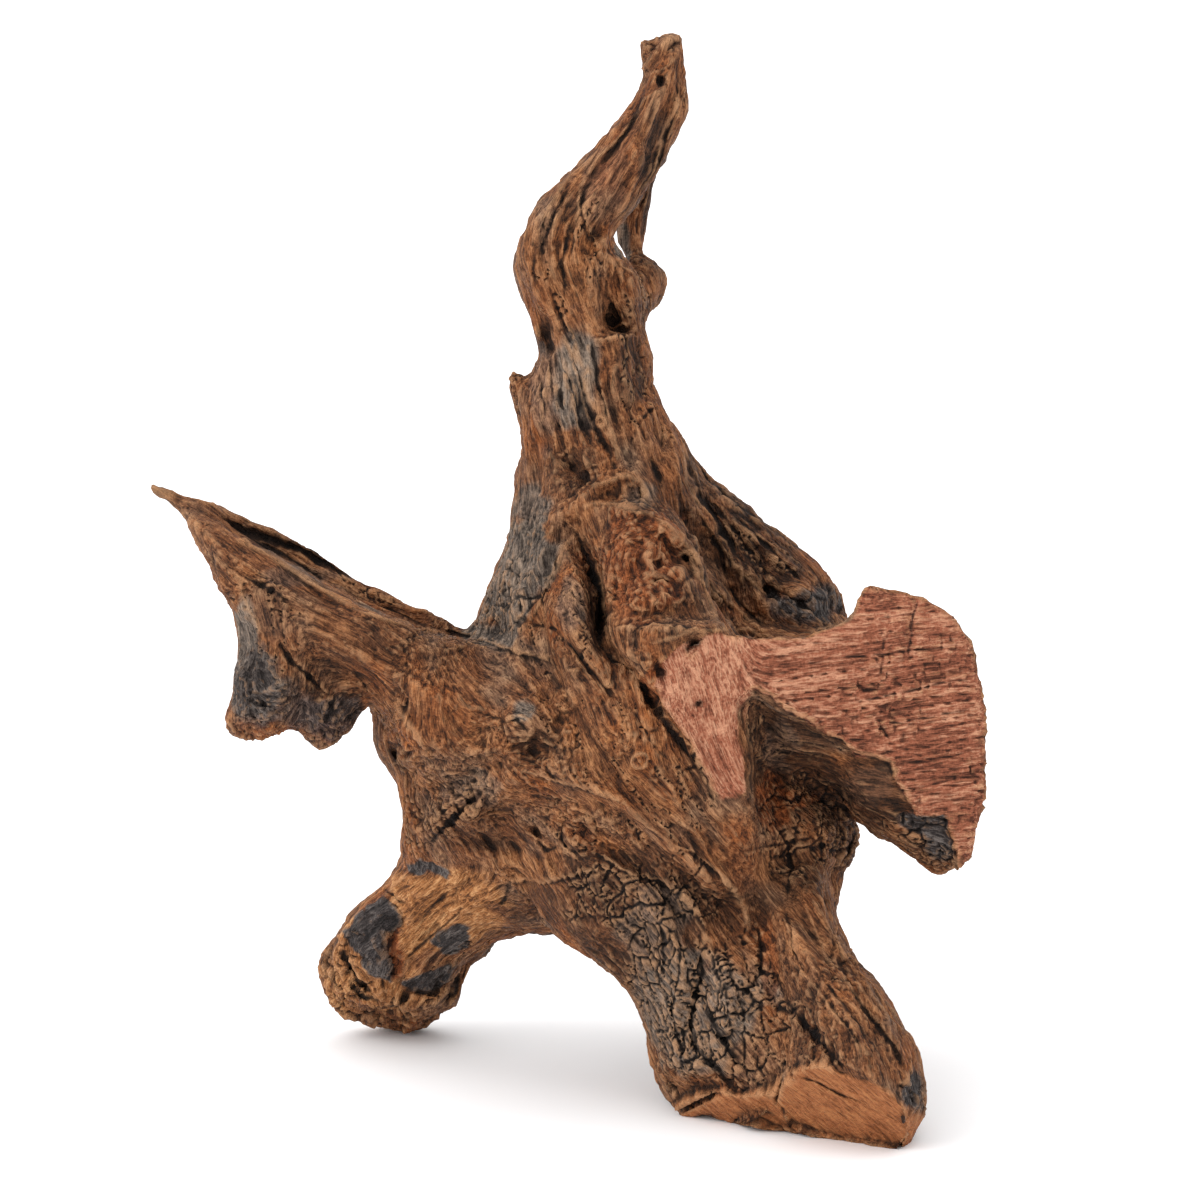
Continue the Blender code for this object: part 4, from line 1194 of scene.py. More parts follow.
@dataclass(frozen=True)
class Tones:
    """How pale and how brown the wood is from place to place: the share of each thing that sways it."""

    middle: float = 0.5
    fibre: float = 0.22
    strand: float = 0.12
    slab_loss: float = 0.7
    saw_row: float = 0.6
    flap: float = 0.35
    streak_range: tuple[float, float] = (-0.6, 1.6)
    drift: float = 0.32
    drift_size: float = 13.0
    rope: float = 0.12


@dataclass(frozen=True)
class CrestAndHollowRules:
    """How crests and hollows are read on three scales: passes of evening, and each scale's share. Crests are
    made paler, for rubbing and a painted highlight, and hollows darker, for grime and painted shade.
    """

    passes: tuple[int, int, int] = (2, 14, 90)
    crest_shares: tuple[float, float, float] = (3.0, 0.9, 0.12)
    hollow_shares: tuple[float, float, float] = (2.5, 0.9, 0.3)
    charred_loss: float = 0.5


@dataclass(frozen=True)
class Blocks:
    """The blocks that drying wood breaks into: sizes in millimetres, round the limb and along it."""

    girth: float = 6.2
    length: float = 9.0
    wander: tuple[float, float, float] = (1.2, 0.0, 1.6)
    wander_size: float = 7.0
    finer: tuple[float, float, float] = (2.1, 1.7, 1.0)
    finer_shift: float = 5.0
    fine_seam: float = 0.55
    fine_height: float = 0.5
    shatter_size: float = 17.0
    shattered_here: tuple[float, float] = (-0.1, 0.3)
    seam_width: tuple[float, float] = (0.13, 0.02)

    def find(self, grain: Array, place: Array) -> tuple[Array, Array]:
        """Finds the blocks and the cracks between them.

        Args:
            grain: Places in the grain, in millimetres.
            place: Places in space, in millimetres.

        Returns:
            How deep in a crack each place is, from 0 to 1, and each block's own height, -1 to 1.
        """
        seeds = (Seed.WANDER_ROUND, Seed.WANDER_ACROSS, Seed.WANDER_ALONG)
        wander = np.stack([RandomField(seed).layers(place / self.wander_size, 2) for seed in seeds], axis=1)
        spots = (grain + wander * self.wander) / (self.girth, GrainField.APART, self.length)
        spots = np.stack([spots[:, 0], spots[:, 2], np.floor(spots[:, 1])], axis=1)
        gap, pick, _ = RandomField(Seed.BLOCK).cells(spots, flat=True)
        finer = spots * self.finer + self.finer_shift
        fine_gap, fine, _ = RandomField(Seed.FINE_BLOCK).cells(finer, flat=True)
        shatter = RandomField(Seed.SHATTER).at(place / self.shatter_size)
        shatter = smoothstep(*self.shattered_here, shatter)
        fine_seam = self.fine_seam * shatter * smoothstep(*self.seam_width, fine_gap)
        seam = np.maximum(smoothstep(*self.seam_width, gap), fine_seam)
        return seam, np.clip(pick + self.fine_height * fine * shatter, -1, 1)


@dataclass(frozen=True)
class SawRows:
    """The rows that a coarse rip saw left on the slab, and its chips: sizes in millimetres."""

    pitch: float = 3.1
    slope: float = 0.12
    wave: float = 1.6
    wave_size: float = 26.0
    groove: float = 0.55
    groove_width: tuple[float, float] = (0.2, 0.0)
    shallow: float = 0.45
    deep_every: int = 3
    row_height: float = 0.25
    row_apart: float = 0.9
    row_length: float = 30.0
    block_size: float = 6.5
    block_shift: float = 0.37
    block_apart: float = 7.3
    block_height: float = 0.12
    chip_size: float = 18.0
    chipped_here: tuple[float, float] = (-0.3, 0.3)
    tick: float = 0.45
    tick_width: tuple[float, float] = (0.12, 0.01)
    fine_rows: int = 3
    fine_wave: float = 0.3
    fine_height: float = 0.06
    block_tone: float = 0.5
    fine_tone: float = 0.3

    def cut(self, place: Array) -> tuple[Array, Array]:
        """Finds the marks that the saw and later drying left.

        Args:
            place: Places in space, in millimetres.

        Returns:
            The height of the marks in millimetres, and how pale each row is, from -1 to 1.
        """
        wave = RandomField(Seed.SAW_WAVE).layers(place / self.wave_size, 2) * self.wave
        fall = (place[:, 2] - self.slope * place[:, 0] + wave) / self.pitch
        row = np.floor(fall)
        part = fall - row
        depth = np.where(row % self.deep_every == 0, 1.0, self.shallow)
        groove = smoothstep(*self.groove_width, np.minimum(part, 1 - part)) * depth
        across = place[:, 0] / self.block_size + row * self.block_shift
        blocks = np.stack([across, row * self.block_apart, row * 0], axis=1)
        tick, block, _ = RandomField(Seed.TICK).cells(blocks, flat=True)
        chip = RandomField(Seed.SAW_CHIP).layers(place / self.chip_size, 2)
        chip = smoothstep(*self.chipped_here, chip)
        fine = np.sin((fall + wave * self.fine_wave) * 2 * math.pi * self.fine_rows)
        spots = np.stack([row * self.row_apart, place[:, 0] / self.row_length, row * 0], axis=1)
        pick = RandomField(Seed.SAW_ROW).at(spots)
        height = self.row_height * pick + self.block_height * block * chip + self.fine_height * fine
        height -= self.groove * groove + self.tick * chip * smoothstep(*self.tick_width, tick)
        tone = pick + self.block_tone * block * chip + self.fine_tone * fine - groove
        return height, np.clip(tone, -1, 1)


# The random fields that are drawn out along the grain: seed, millimetres across, and strand widths.
DRAWN_FIELDS: dict[str, tuple[Seed, float, int]] = {
    "strand": (Seed.STRAND, 3.6, 7),
    "fibre": (Seed.FIBRE, 1.5, 8),
    "rope": (Seed.ROPE, 6.5, 5),
    "split": (Seed.SPLIT, 5.0, 7),
}


@dataclass
class Stump:
    """The wood: one skin, refined from the frame's solid and carved."""

    cell: float = 0.8 * MM
    weld: float = 0.01 * MM
    rounding: int = 2
    fitting: int = 3
    even_passes: int = 3
    front_passes: int = 3
    triangles: int = 196000
    slab_starts: tuple[float, float] = (745.0, 775.0)
    foot_grain: tuple[float, float, float] = (0.8, 0.3, -0.5)
    sawn_pull: float = 3.0
    foot_reach: float = 6 * MM
    foot_core: float = 0.6
    foot_sample: int = 7
    foot_flatness: float = 0.95
    gnarl_size: float = 9.0
    gnarl_everywhere: float = 0.25
    gnarl_in_burls: float = 2.2
    wobble: float = 1.3
    wobble_size: float = 5.0
    stroke_share: float = 0.8
    stroke_swing: float = 0.35
    stroke_swing_size: float = 4.0
    rules: MarkRules = MarkRules()
    relief: Relief = Relief()
    tones: Tones = Tones()
    crests_and_hollows: CrestAndHollowRules = CrestAndHollowRules()
    blocks: Blocks = Blocks()
    saw: SawRows = SawRows()
    marks: dict[Mark, Array] = field(default_factory=dict)
    drawn: dict[str, Array] = field(default_factory=dict)

    def build(self) -> bpy.types.Object:
        """Makes the skin.

        Returns:
            The finished piece, without its material.
        """
        obj = self.copy_solid()
        self.refine(obj)
        LOG.info("refined")
        skin = Skin(obj.data)
        spots = VIEW.places(skin.points)
        front = skin.spread(VIEW.shown(skin.points, skin.normals), self.front_passes)
        self.find_marks(skin, spots, front)
        LOG.info("marks found")
        grain, keep = self.lay_grain(skin, spots, front)
        LOG.info("grain laid")
        self.carve(skin, spots, front)
        LOG.info("carved")
        self.weather(skin, grain, keep)
        LOG.info("weathered")
        self.read_crests_and_hollows(skin)
        for mark, values in self.marks.items():
            skin.keep(mark, values)
        LOG.info("wear read on %d points", len(skin.points))
        self.thin_out(obj)
        LOG.info("thinned")
        obj.data.shade_smooth()
        return obj

    def copy_solid(self) -> bpy.types.Object:
        """Takes the frame's solid as an object of its own.

        Returns:
            The copy, without materials and marks.
        """
        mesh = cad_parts["driftwood"].data.copy()
        mesh.materials.clear()
        for layer in list(mesh.attributes):
            if not layer.is_required:
                mesh.attributes.remove(layer)
        obj = bpy.data.objects.new("driftwood_skin", mesh)
        bpy.context.scene.collection.objects.link(obj)
        return obj

    def refine(self, obj: bpy.types.Object) -> None:
        """Rounds the solid's facets and lays a fine even net over it.

        Args:
            obj: The copy of the solid. Its mesh is changed.
        """
        weld = obj.modifiers.new("Weld", "WELD")
        weld.merge_threshold = self.weld
        apply_modifiers(obj)
        corners = Skin(obj.data).points
        held = corners.copy()
        rounds = obj.modifiers.new("Round", "SUBSURF")
        rounds.levels = rounds.render_levels = self.rounding
        for _ in range(self.fitting):
            graph = bpy.context.evaluated_depsgraph_get()
            rounded = obj.evaluated_get(graph).data
            now = np.empty(len(rounded.vertices) * 3)
            rounded.vertices.foreach_get("co", now)
            held += corners - now.reshape(-1, 3)[: len(corners)]
            obj.data.vertices.foreach_set("co", held.ravel())
            obj.data.update()
        net = obj.modifiers.new("Net", "REMESH")
        net.mode = "VOXEL"
        net.voxel_size = self.cell
        apply_modifiers(obj)
        skin = Skin(obj.data)
        skin.move(skin.evened(self.even_passes))

    def find_marks(self, skin: Skin, spots: Array, front: Array) -> None:
        """Finds where the skin is charred, checked, sawn and so on.

        Args:
            skin: The skin.
            spots: Its grid places.
            front: How far each point shows from the front.
        """
        rules = self.rules
        place = skin.points / MM
        ragged = RandomField(Seed.RAGGED).layers(place / rules.ragged_size, 4)
        behind = 1 - smoothstep(*rules.behind, front)
        for number, (mark, patches) in enumerate(PATCHES.items()):
            total = np.zeros(len(skin.points))
            for x, y, wide, high, strength in patches:
                far = np.hypot((spots[:, 0] - x) / wide, (spots[:, 1] - y) / high)
                total = np.maximum(total, strength * smoothstep(*rules.patch, far + ragged * rules.ragged))
            unseen = RandomField(Seed.BEHIND + number).layers(place / rules.unseen_size, 3)
            unseen = smoothstep(*rules.unseen, unseen) * rules.unseen_share
            self.marks[mark] = total * (1 - behind) + behind * unseen
        edge = RandomField(Seed.EDGE).layers(place / rules.edge_size, 2) * rules.edge_swing
        facing = smoothstep(*rules.facing, front)
        for mark, outlines in OUTLINES.items():
            depth = np.maximum.reduce([Outline(line).depth(spots) for line in outlines])
            swing = rules.sawn_edge_share if mark is Mark.SAWN_END else 1
            share = smoothstep(*rules.edge, depth + edge * swing) * facing
            self.marks[mark] = np.maximum(self.marks.get(mark, np.zeros(len(share))), share)
        self.marks[Mark.SAWN] *= smoothstep(*rules.slab_facing, -skin.normals[:, 1])
        self.marks[Mark.SAWN_END] *= smoothstep(*rules.foot_facing, skin.normals @ rules.foot_faces)
        bare = 1 - np.maximum(self.marks[Mark.SAWN], self.marks[Mark.SAWN_END])
        for mark in PATCHES:
            self.marks[mark] = self.marks[mark] * bare
        scorch = Outline(FLAP_SCORCH).depth(spots).clip(0, rules.scorch_edge) / rules.scorch_edge
        scorch *= rules.scorch_share * self.marks[Mark.SAWN]
        self.marks[Mark.CHARRED] = np.maximum(self.marks[Mark.CHARRED], scorch)

    def lay_grain(self, skin: Skin, spots: Array, front: Array) -> tuple[Array, Array]:
        """Finds how the grain runs, and draws strands and fibres out along it.

        Args:
            skin: The skin.
            spots: Its grid places.
            front: How far each point shows from the front.

        Returns:
            Each point's place in the grain, in millimetres, and how clear it is of the seams
            between courses.
        """
        grain, keep, ways = GrainField(COURSES).places(skin.points)
        place = skin.points / MM
        seeds = (Seed.GNARL_X, Seed.GNARL_Y, Seed.GNARL_Z)
        gnarl = np.stack([RandomField(seed).at(place / self.gnarl_size) for seed in seeds], axis=1)
        burl = self.marks[Mark.GNARLED][:, None]
        ways = ways + gnarl * (self.gnarl_everywhere + self.gnarl_in_burls * burl)
        slab = self.marks[Mark.SAWN] * smoothstep(*self.slab_starts, spots[:, 0])
        rows = self.sawn_pull * np.array((1, 0, self.saw.slope))
        ways = ways * (1 - slab[:, None]) + slab[:, None] * rows
        self.drawn["slab"] = slab
        foot = self.marks[Mark.SAWN_END]
        rows = self.sawn_pull * np.array(self.foot_grain)
        ways = ways * (1 - foot[:, None]) + foot[:, None] * rows
        rings, bulge = self.bend_round_knots(spots, front, ways)
        ways /= np.maximum(np.linalg.norm(ways, axis=1), TINY)[:, None]
        flow = Flow(place, ways)
        layer = skin.mesh.attributes.new("way", "FLOAT_VECTOR", "POINT")
        layer.data.foreach_set("vector", flow.grid[flow.key(place)].ravel())
        self.drawn |= {"rings": rings, "bulge": bulge}
        for name, (seed, width, steps) in DRAWN_FIELDS.items():
            self.drawn[name] = flow.drawn(seed, place, width, steps)
        return grain, keep

    def carve(self, skin: Skin, spots: Array, front: Array) -> None:
        """Cuts the strokes.

        Args:
            skin: The skin.
            spots: Its grid places.
            front: How far each point shows from the front.
        """
        place = skin.points / MM
        seeds = (Seed.WOBBLE_X, Seed.WOBBLE_Y)
        wobble = [RandomField(seed).layers(place / self.wobble_size, 2) * self.wobble for seed in seeds]
        spots = spots[:, :2] + np.stack(wobble, axis=1)
        swing = RandomField(Seed.UNEVEN).at(place / self.stroke_swing_size)
        uneven = self.stroke_share + self.stroke_swing * swing
        height = np.zeros(len(place))
        dark = np.zeros(len(place))
        pale = np.zeros(len(place))
        for cut, rows in STROKES.items():
            for half_width, high, line in rows:
                # A crack stroke leaves its own dark; a sunk hollow and the foot of a raised edge leave
                # painted shade; a ridge leaves a rubbed pale, and a raised edge leaves a painted highlight.
                inside, rise, shade, shine = Stroke(cut, half_width, high, line).profile(spots)
                height[inside] += rise * high * uneven[inside]
                dark[inside] = np.maximum(dark[inside], shade * front[inside])
                pale[inside] = np.maximum(pale[inside], shine * front[inside])
        # The cracks' mark also carries the strokes' painted shade, and the crests' mark carries their painted
        # highlights.
        self.marks[Mark.CRACK] = dark
        self.marks[Mark.CREST_RUB_AND_PAINTED_HIGHLIGHT] = pale
        moved = skin.points - np.outer(front * height * MM, np.array(VIEW.ahead))
        skin.move(moved + self.to_plane(skin.points, self.marks[Mark.SAWN_END]))

    def to_plane(self, points: Array, share: Array) -> Array:
        """Finds the moves that make a cut face flat.

        Args:
            points: The skin's points.
            share: How far each is part of the face.

        Returns:
            One move each, in metres.
        """
        face = points[share > self.foot_core]
        middle = face.mean(axis=0)
        normal = np.linalg.svd((face - middle)[:: self.foot_sample], full_matrices=False)[2][2]
        height = ((points - middle) @ normal).clip(-self.foot_reach, self.foot_reach)
        return -np.outer(height * share * self.foot_flatness, normal)

    def weather(self, skin: Skin, grain: Array, keep: Array) -> None:
        """Raises the strands of the grain, and opens the cracks that drying leaves.

        Args:
            skin: The skin.
            grain: Each point's place in the grain.
            keep: How clear each point is of the seams between courses.
        """
        relief = self.relief
        place = skin.points / MM
        strand, fibre, rope = (self.drawn[name] for name in ("strand", "fibre", "rope"))
        sawn = np.maximum(self.marks[Mark.SAWN], self.marks[Mark.SAWN_END])
        rough = 1 - relief.sawn_share * sawn
        checked, gnarled, broken = (self.marks[m] for m in (Mark.CHECKED, Mark.GNARLED, Mark.BROKEN))

        lump = RandomField(Seed.LUMP).layers(place / relief.lump_size, 3)
        swell = RandomField(Seed.SWELL).layers(place / relief.swell_size, 2)
        curl = RandomField(Seed.CURL).layers(place / relief.curl_size, 2)
        height = relief.strand * (relief.crest - np.abs(strand)) + relief.fibre * fibre
        height += relief.lump * lump + relief.swell * swell
        roped = relief.rope * (np.abs(rope) - relief.crest).clip(*relief.rope_range)
        height += self.marks[Mark.ROPY] * roped
        height += gnarled * relief.curl * (relief.curl_crest - np.abs(curl))
        height += relief.rings * self.drawn["rings"] + self.drawn["bulge"]

        open_here = RandomField(Seed.OPEN).layers(place / relief.open_size, 2)
        open_here = np.maximum(smoothstep(*relief.open_here, open_here), checked)
        split = smoothstep(*relief.split_width, np.abs(self.drawn["split"])) * open_here
        height -= relief.split * split

        seam, pick = self.blocks.find(grain, place)
        seam = np.where(keep > 0.5, seam, 0) * checked
        height += checked * relief.block * pick * keep - relief.seam * seam

        gap, chunk, _ = RandomField(Seed.CHUNK).cells(place / relief.chunk_size + lump[:, None] * relief.bent)
        _, chip, _ = RandomField(Seed.CHIP).cells(place / relief.chip_size + curl[:, None] * relief.bent)
        pieces = relief.chunk * chunk + relief.chip * chip
        height += broken * (pieces - relief.gap * smoothstep(*relief.gap_width, gap))

        _, _, near = RandomField(Seed.PIT).cells(place / relief.pit_size)
        pitted = RandomField(Seed.PITTED).at(place / relief.pitted_size)
        pit = smoothstep(*relief.pit_width, near) * smoothstep(*relief.pitted_here, pitted)
        height -= relief.pit * pit

        saw, row = self.saw.cut(place)
        slab, foot = self.drawn["slab"], self.marks[Mark.SAWN_END]
        flap = self.marks[Mark.SAWN] - slab
        height = height * rough + saw * slab
        height += relief.sawn_fibre * fibre * foot + relief.flap_strand * strand * flap
        low = smoothstep(*relief.above_floor, place[:, 2])
        moved = skin.points + skin.normals * (height * low * MM)[:, None]
        moved[:, 2] = np.maximum(moved[:, 2], 0)

        parted = broken * relief.gap_dark * smoothstep(*relief.gap_shade, gap)
        # The cracks' dark also carries the strokes' painted shade.
        cracks = (split * rough, seam * rough, pit * rough, parted, self.marks[Mark.CRACK])
        self.marks[Mark.CRACK] = np.maximum.reduce(cracks)
        tones = self.tones
        streak = (fibre * tones.fibre + strand * tones.strand) * (1 - tones.slab_loss * slab)
        streak = tones.middle + streak + tones.saw_row * row * slab + tones.flap * flap
        self.marks[Mark.STREAK] = np.clip(streak, *tones.streak_range)
        drift = RandomField(Seed.DRIFT).layers(place / tones.drift_size, 3)
        self.marks[Mark.TINT] = np.clip(tones.middle + tones.drift * drift + tones.rope * rope, 0, 1)
        skin.move(moved)

    def bend_round_knots(self, spots: Array, front: Array, ways: Array) -> tuple[Array, Array]:
        """Bends the grain round each knot.

        Args:
            spots: The skin's grid places.
            front: How far each point shows from the front.
            ways: The way that the grain runs at each point. It is changed in place.

        Returns:
            The knots' rings, and how far each knot swells or sinks the skin, in millimetres.
        """
        rings = np.zeros(len(spots))
        bulge = np.zeros(len(spots))
        for number, knot in enumerate(KNOTS):
            offset = spots[:, :2] - (knot.x, knot.y)
            far = np.hypot(*offset.T) / knot.reach
            near = (front > Knot.SHOWN) & (far < Knot.FAR)
            pull = np.exp(-((far[near] / Knot.PULL_REACH) ** 2))[:, None]
            across = np.stack([offset[near, 1], offset[near, 0] * 0, offset[near, 0]], axis=1)
            across /= np.maximum(np.linalg.norm(across, axis=1), TINY)[:, None]
            across *= np.sign(np.einsum("ij,ij->i", across, ways[near]))[:, None]
            ways[near] = ways[near] * (1 - pull) + across * pull * Knot.PULL
            turns = np.sin(far[near] * (Knot.FEWEST_RINGS + number % 3) + number)
            rings[near] += turns * smoothstep(*Knot.RINGS, far[near])
            bulge[near] += smoothstep(*Knot.SWELL, far[near]) * Knot.SWELL_HEIGHTS[number % 2]
            bulge[near] -= smoothstep(*Knot.PITH, far[near]) * Knot.PITH_DEPTH * (number % 3 != 0)
        return rings, bulge

    def read_crests_and_hollows(self, skin: Skin) -> None:
        """Finds the crests to make paler, for rubbing and a painted highlight, and the hollows to make
        darker, for grime and painted shade.

        Args:
            skin: The skin.
        """
        sunk = np.stack([skin.sunk(times) for times in self.crests_and_hollows.passes], axis=1)
        crest_rub_and_painted_highlight = np.clip(-(sunk @ self.crests_and_hollows.crest_shares), 0, 1)
        bare = 1 - self.crests_and_hollows.charred_loss * self.marks[Mark.CHARRED]
        self.marks[Mark.CREST_RUB_AND_PAINTED_HIGHLIGHT] = np.maximum(crest_rub_and_painted_highlight, self.marks[Mark.CREST_RUB_AND_PAINTED_HIGHLIGHT]) * bare
        self.marks[Mark.HOLLOW] = np.clip(sunk @ self.crests_and_hollows.hollow_shares, 0, 1)

    def thin_out(self, obj: bpy.types.Object) -> None:
        """Brings the skin down to the triangles that its form needs.

        Args:
            obj: The skin's object.
        """
        thin = obj.modifiers.new("Thin", "DECIMATE")
        thin.ratio = self.triangles / (len(obj.data.polygons) * 2)
        thin.use_collapse_triangulate = True
        apply_modifiers(obj)


def linear(hex_colour: str) -> tuple[float, float, float, float]:
    """Turns an sRGB hex colour to linear.

    Args:
        hex_colour: Such as "#7f5335".

    Returns:
        Red, green, blue and 1.
    """
    parts = [int(hex_colour[i : i + 2], 16) / 255 for i in (1, 3, 5)]
    return (*(p / 12.92 if p <= 0.04045 else ((p + 0.055) / 1.055) ** 2.4 for p in parts), 1.0)


def add_node(
    tree: bpy.types.NodeTree,
    kind: str,
    settings: dict[str, object] | None = None,
    inputs: dict[str | int, object] | None = None,
) -> bpy.types.Node:
    """Adds a node with its settings and links.

    Args:
        tree: The tree that it joins.
        kind: The node's type.
        settings: Its own properties by name.
        inputs: What goes in each socket, by name or number: an output to link, or a value.

    Returns:
        The node.
    """
    node = tree.nodes.new(kind)
    for name, value in (settings or {}).items():
        setattr(node, name, value)
    for name, value in (inputs or {}).items():
        if isinstance(value, bpy.types.NodeSocket):
            tree.links.new(value, node.inputs[name])
        else:
            node.inputs[name].default_value = value
    return node


@dataclass(frozen=True)
class WoodFinish:
    """How one state of the wood looks: its three colours and where it lies."""

    mark: Mark | None
    light: str
    middle: str
    dark: str
    low: float = 0.15
    high: float = 0.75


# Bog wood, brown heartwood that water has stained and sun has dried: warm brown with pale crests.
HEARTWOOD = WoodFinish(None, "#a46f47", "#6f4327", "#331c0e")
# The same wood where dust and sun have taken the red out: grey brown.
DUSTY_WOOD = WoodFinish(Mark.TINT, "#9b7a5e", "#6a4d3a", "#31221a", 0.5, 0.95)
# The same wood where iron and tannin have bled into it: rusty brown.
RUSTY_WOOD = WoodFinish(Mark.TINT, "#ab6838", "#77401d", "#34190a", 0.42, 0.02)
# Painted shade: dark brown laid where shade falls, in clefts and hollows, on the spire's right side, on the
# buttress, and under the slab and the arch.
PAINTED_SHADE_WOOD = WoodFinish(Mark.PAINTED_SHADE, "#6b4229", "#3d2414", "#170c06", 0.1, 0.9)
# Sapwood silvered by weather: grey with a little blue.
SILVERED = WoodFinish(Mark.GREYED, "#937f6e", "#62554b", "#29221d")
# Wood rotted soft and stained ochre.
OCHRE_WOOD = WoodFinish(Mark.OCHRE, "#cd9765", "#9c6539", "#522f16")
# Iron-stained wood: redder.
RED_WOOD = WoodFinish(Mark.RED, "#9f5a30", "#733b1b", "#36180b")
# Charred skin: charcoal with a dull sheen and brown dust on its crests.
CHARRED_WOOD = WoodFinish(Mark.CHARRED, "#6d645f", "#3c3533", "#191514")
# Fresh sawn face of a red hardwood: dusty pink with pale fibres.
SAWN_FACE = WoodFinish(Mark.SAWN, "#c18a6c", "#8e523a", "#50291a")
# Sawn end, sanded and oiled by handling: orange brown.
SAWN_END_FACE = WoodFinish(Mark.SAWN_END, "#b47749", "#9c6039", "#764422")

FINISHES = (
    HEARTWOOD, DUSTY_WOOD, RUSTY_WOOD, PAINTED_SHADE_WOOD, SILVERED, OCHRE_WOOD, RED_WOOD, CHARRED_WOOD, SAWN_FACE,
    SAWN_END_FACE,
)


@dataclass(frozen=True)
class DriedWood:
    """The wood's material: finishes mixed by the marks on the mesh, with grain in colour and bump."""

    name: str = "dried bog wood"
    roughness: float = 0.75
    fibre: float = 0.6
    fibre_steps: int = 3
    strand: float = 1.5
    strand_steps: int = 2
    sample_gap: float = 0.9
    blotch_size: float = 18.0
    speck_size: float = 1.4
    tone_shares: tuple[float, float, float, float] = (0.3, 0.28, 0.26, 0.16)
    pale_tones: tuple[float, float] = (0.5, 0.78)
    deep_tones: tuple[float, float] = (0.5, 0.24)
    bump_shares: tuple[float, float, float] = (0.6, 0.9, 0.5)
    bump_depth: float = 0.9 * MM
    specular: float = 0.2
    # Pale tan on crests: rubbing, and a painted highlight.
    crest: str = "#be8f67"
    crest_range: tuple[float, float, float] = (0.2, 1.0, 0.6)
    # Near-black brown in hollows: grime, and painted shade.
    dirt_and_painted_shade: str = "#180e08"
    dirt_and_painted_shade_range: tuple[float, float, float] = (0.1, 0.85, 0.85)
    # Near black in cracks, and as painted shade in sunk hollows and below raised sheet edges.
    crack: str = "#0b0604"
    crack_range: tuple[float, float, float] = (0.3, 0.9, 0.95)

    def mark(self, tree: bpy.types.NodeTree, mark: Mark) -> bpy.types.NodeSocket:
        """The output that gives a mark's strength."""
        return add_node(tree, "ShaderNodeAttribute", {"attribute_name": mark.value}).outputs["Fac"]

    def add(
        self, tree: bpy.types.NodeTree, first: object, second: object, share: float = 1.0
    ) -> bpy.types.NodeSocket:
        """Adds a share of one number to another.

        Args:
            tree: The material's tree.
            first: The number that is scaled.
            second: The number that it is added to.
            share: The scale.

        Returns:
            The sum.
        """
        settings = {"operation": "MULTIPLY_ADD"}
        return add_node(tree, "ShaderNodeMath", settings, {0: first, 1: share, 2: second}).outputs[0]

    def drawn_noise(
        self, tree: bpy.types.NodeTree, width: float, steps: int, shift: float, swing: float
    ) -> bpy.types.NodeSocket:
        """Noise that is drawn out along the way that the grain runs.

        Args:
            tree: The material's tree.
            width: Millimetres across a fibre.
            steps: How many widths it is drawn each way.
            shift: Sets this noise apart from others.
            swing: How far from its middle the noise goes, as a share of its number of samples.

        Returns:
            The noise, mostly from 0 to 1.
        """
        way = add_node(tree, "ShaderNodeAttribute", {"attribute_name": "way"}).outputs["Vector"]
        place = add_node(tree, "ShaderNodeTexCoord").outputs["Object"]
        scale = (1 / (width * MM),) * 3
        place = add_node(
            tree, "ShaderNodeVectorMath", {"operation": "MULTIPLY_ADD"}, {0: place, 1: scale, 2: (shift,) * 3}
        ).outputs[0]
        total: object = 0.0
        for step in range(-steps, steps + 1):
            reach = (step * self.sample_gap,) * 3
            spot = add_node(
                tree, "ShaderNodeVectorMath", {"operation": "MULTIPLY_ADD"}, {0: way, 1: reach, 2: place}
            ).outputs[0]
            noise = add_node(tree, "ShaderNodeTexNoise", inputs={"Vector": spot, "Scale": 1.0, "Detail": 0.0})
            total = self.add(tree, noise.outputs["Fac"], total)
        middle = (2 * steps + 1) / 2
        reach = swing * (2 * steps + 1)
        return self.stretch(tree, total, middle - reach, middle + reach)

    def spot_noise(self, tree: bpy.types.NodeTree, size: float, detail: float) -> bpy.types.NodeSocket:
        """Even noise.

        Args:
            tree: The material's tree.
            size: Millimetres.
            detail: How many finer layers.

        Returns:
            The noise, from 0 to 1.
        """
        place = add_node(tree, "ShaderNodeTexCoord").outputs["Object"]
        noise = add_node(
            tree,
            "ShaderNodeTexNoise",
            {"noise_dimensions": "3D"},
            {"Vector": place, "Scale": 1 / (size * MM), "Detail": detail, "Roughness": 0.6},
        )
        return noise.outputs["Fac"]

    def mix(
        self, tree: bpy.types.NodeTree, share: bpy.types.NodeSocket, first: object, second: object
    ) -> bpy.types.NodeSocket:
        """A colour between two.

        Args:
            tree: The material's tree.
            share: How much of the second.
            first: A colour or an output.
            second: A colour or an output.

        Returns:
            The mixed colour.
        """
        settings = {"data_type": "RGBA", "clamp_factor": True}
        return add_node(tree, "ShaderNodeMix", settings, {0: share, 6: first, 7: second}).outputs[2]

    def stretch(
        self, tree: bpy.types.NodeTree, value: object, low: float, high: float, top: float = 1.0
    ) -> bpy.types.NodeSocket:
        """Stretches a value so that low gives 0 and high gives top.

        Args:
            tree: The material's tree.
            value: The output to stretch.
            low: What gives 0.
            high: What gives top. It may be below low.
            top: The most that comes out.

        Returns:
            From 0 to top.
        """
        node = add_node(
            tree,
            "ShaderNodeMapRange",
            inputs={"Value": value, "From Min": low, "From Max": high, "To Min": 0.0, "To Max": top},
        )
        return node.outputs[0]

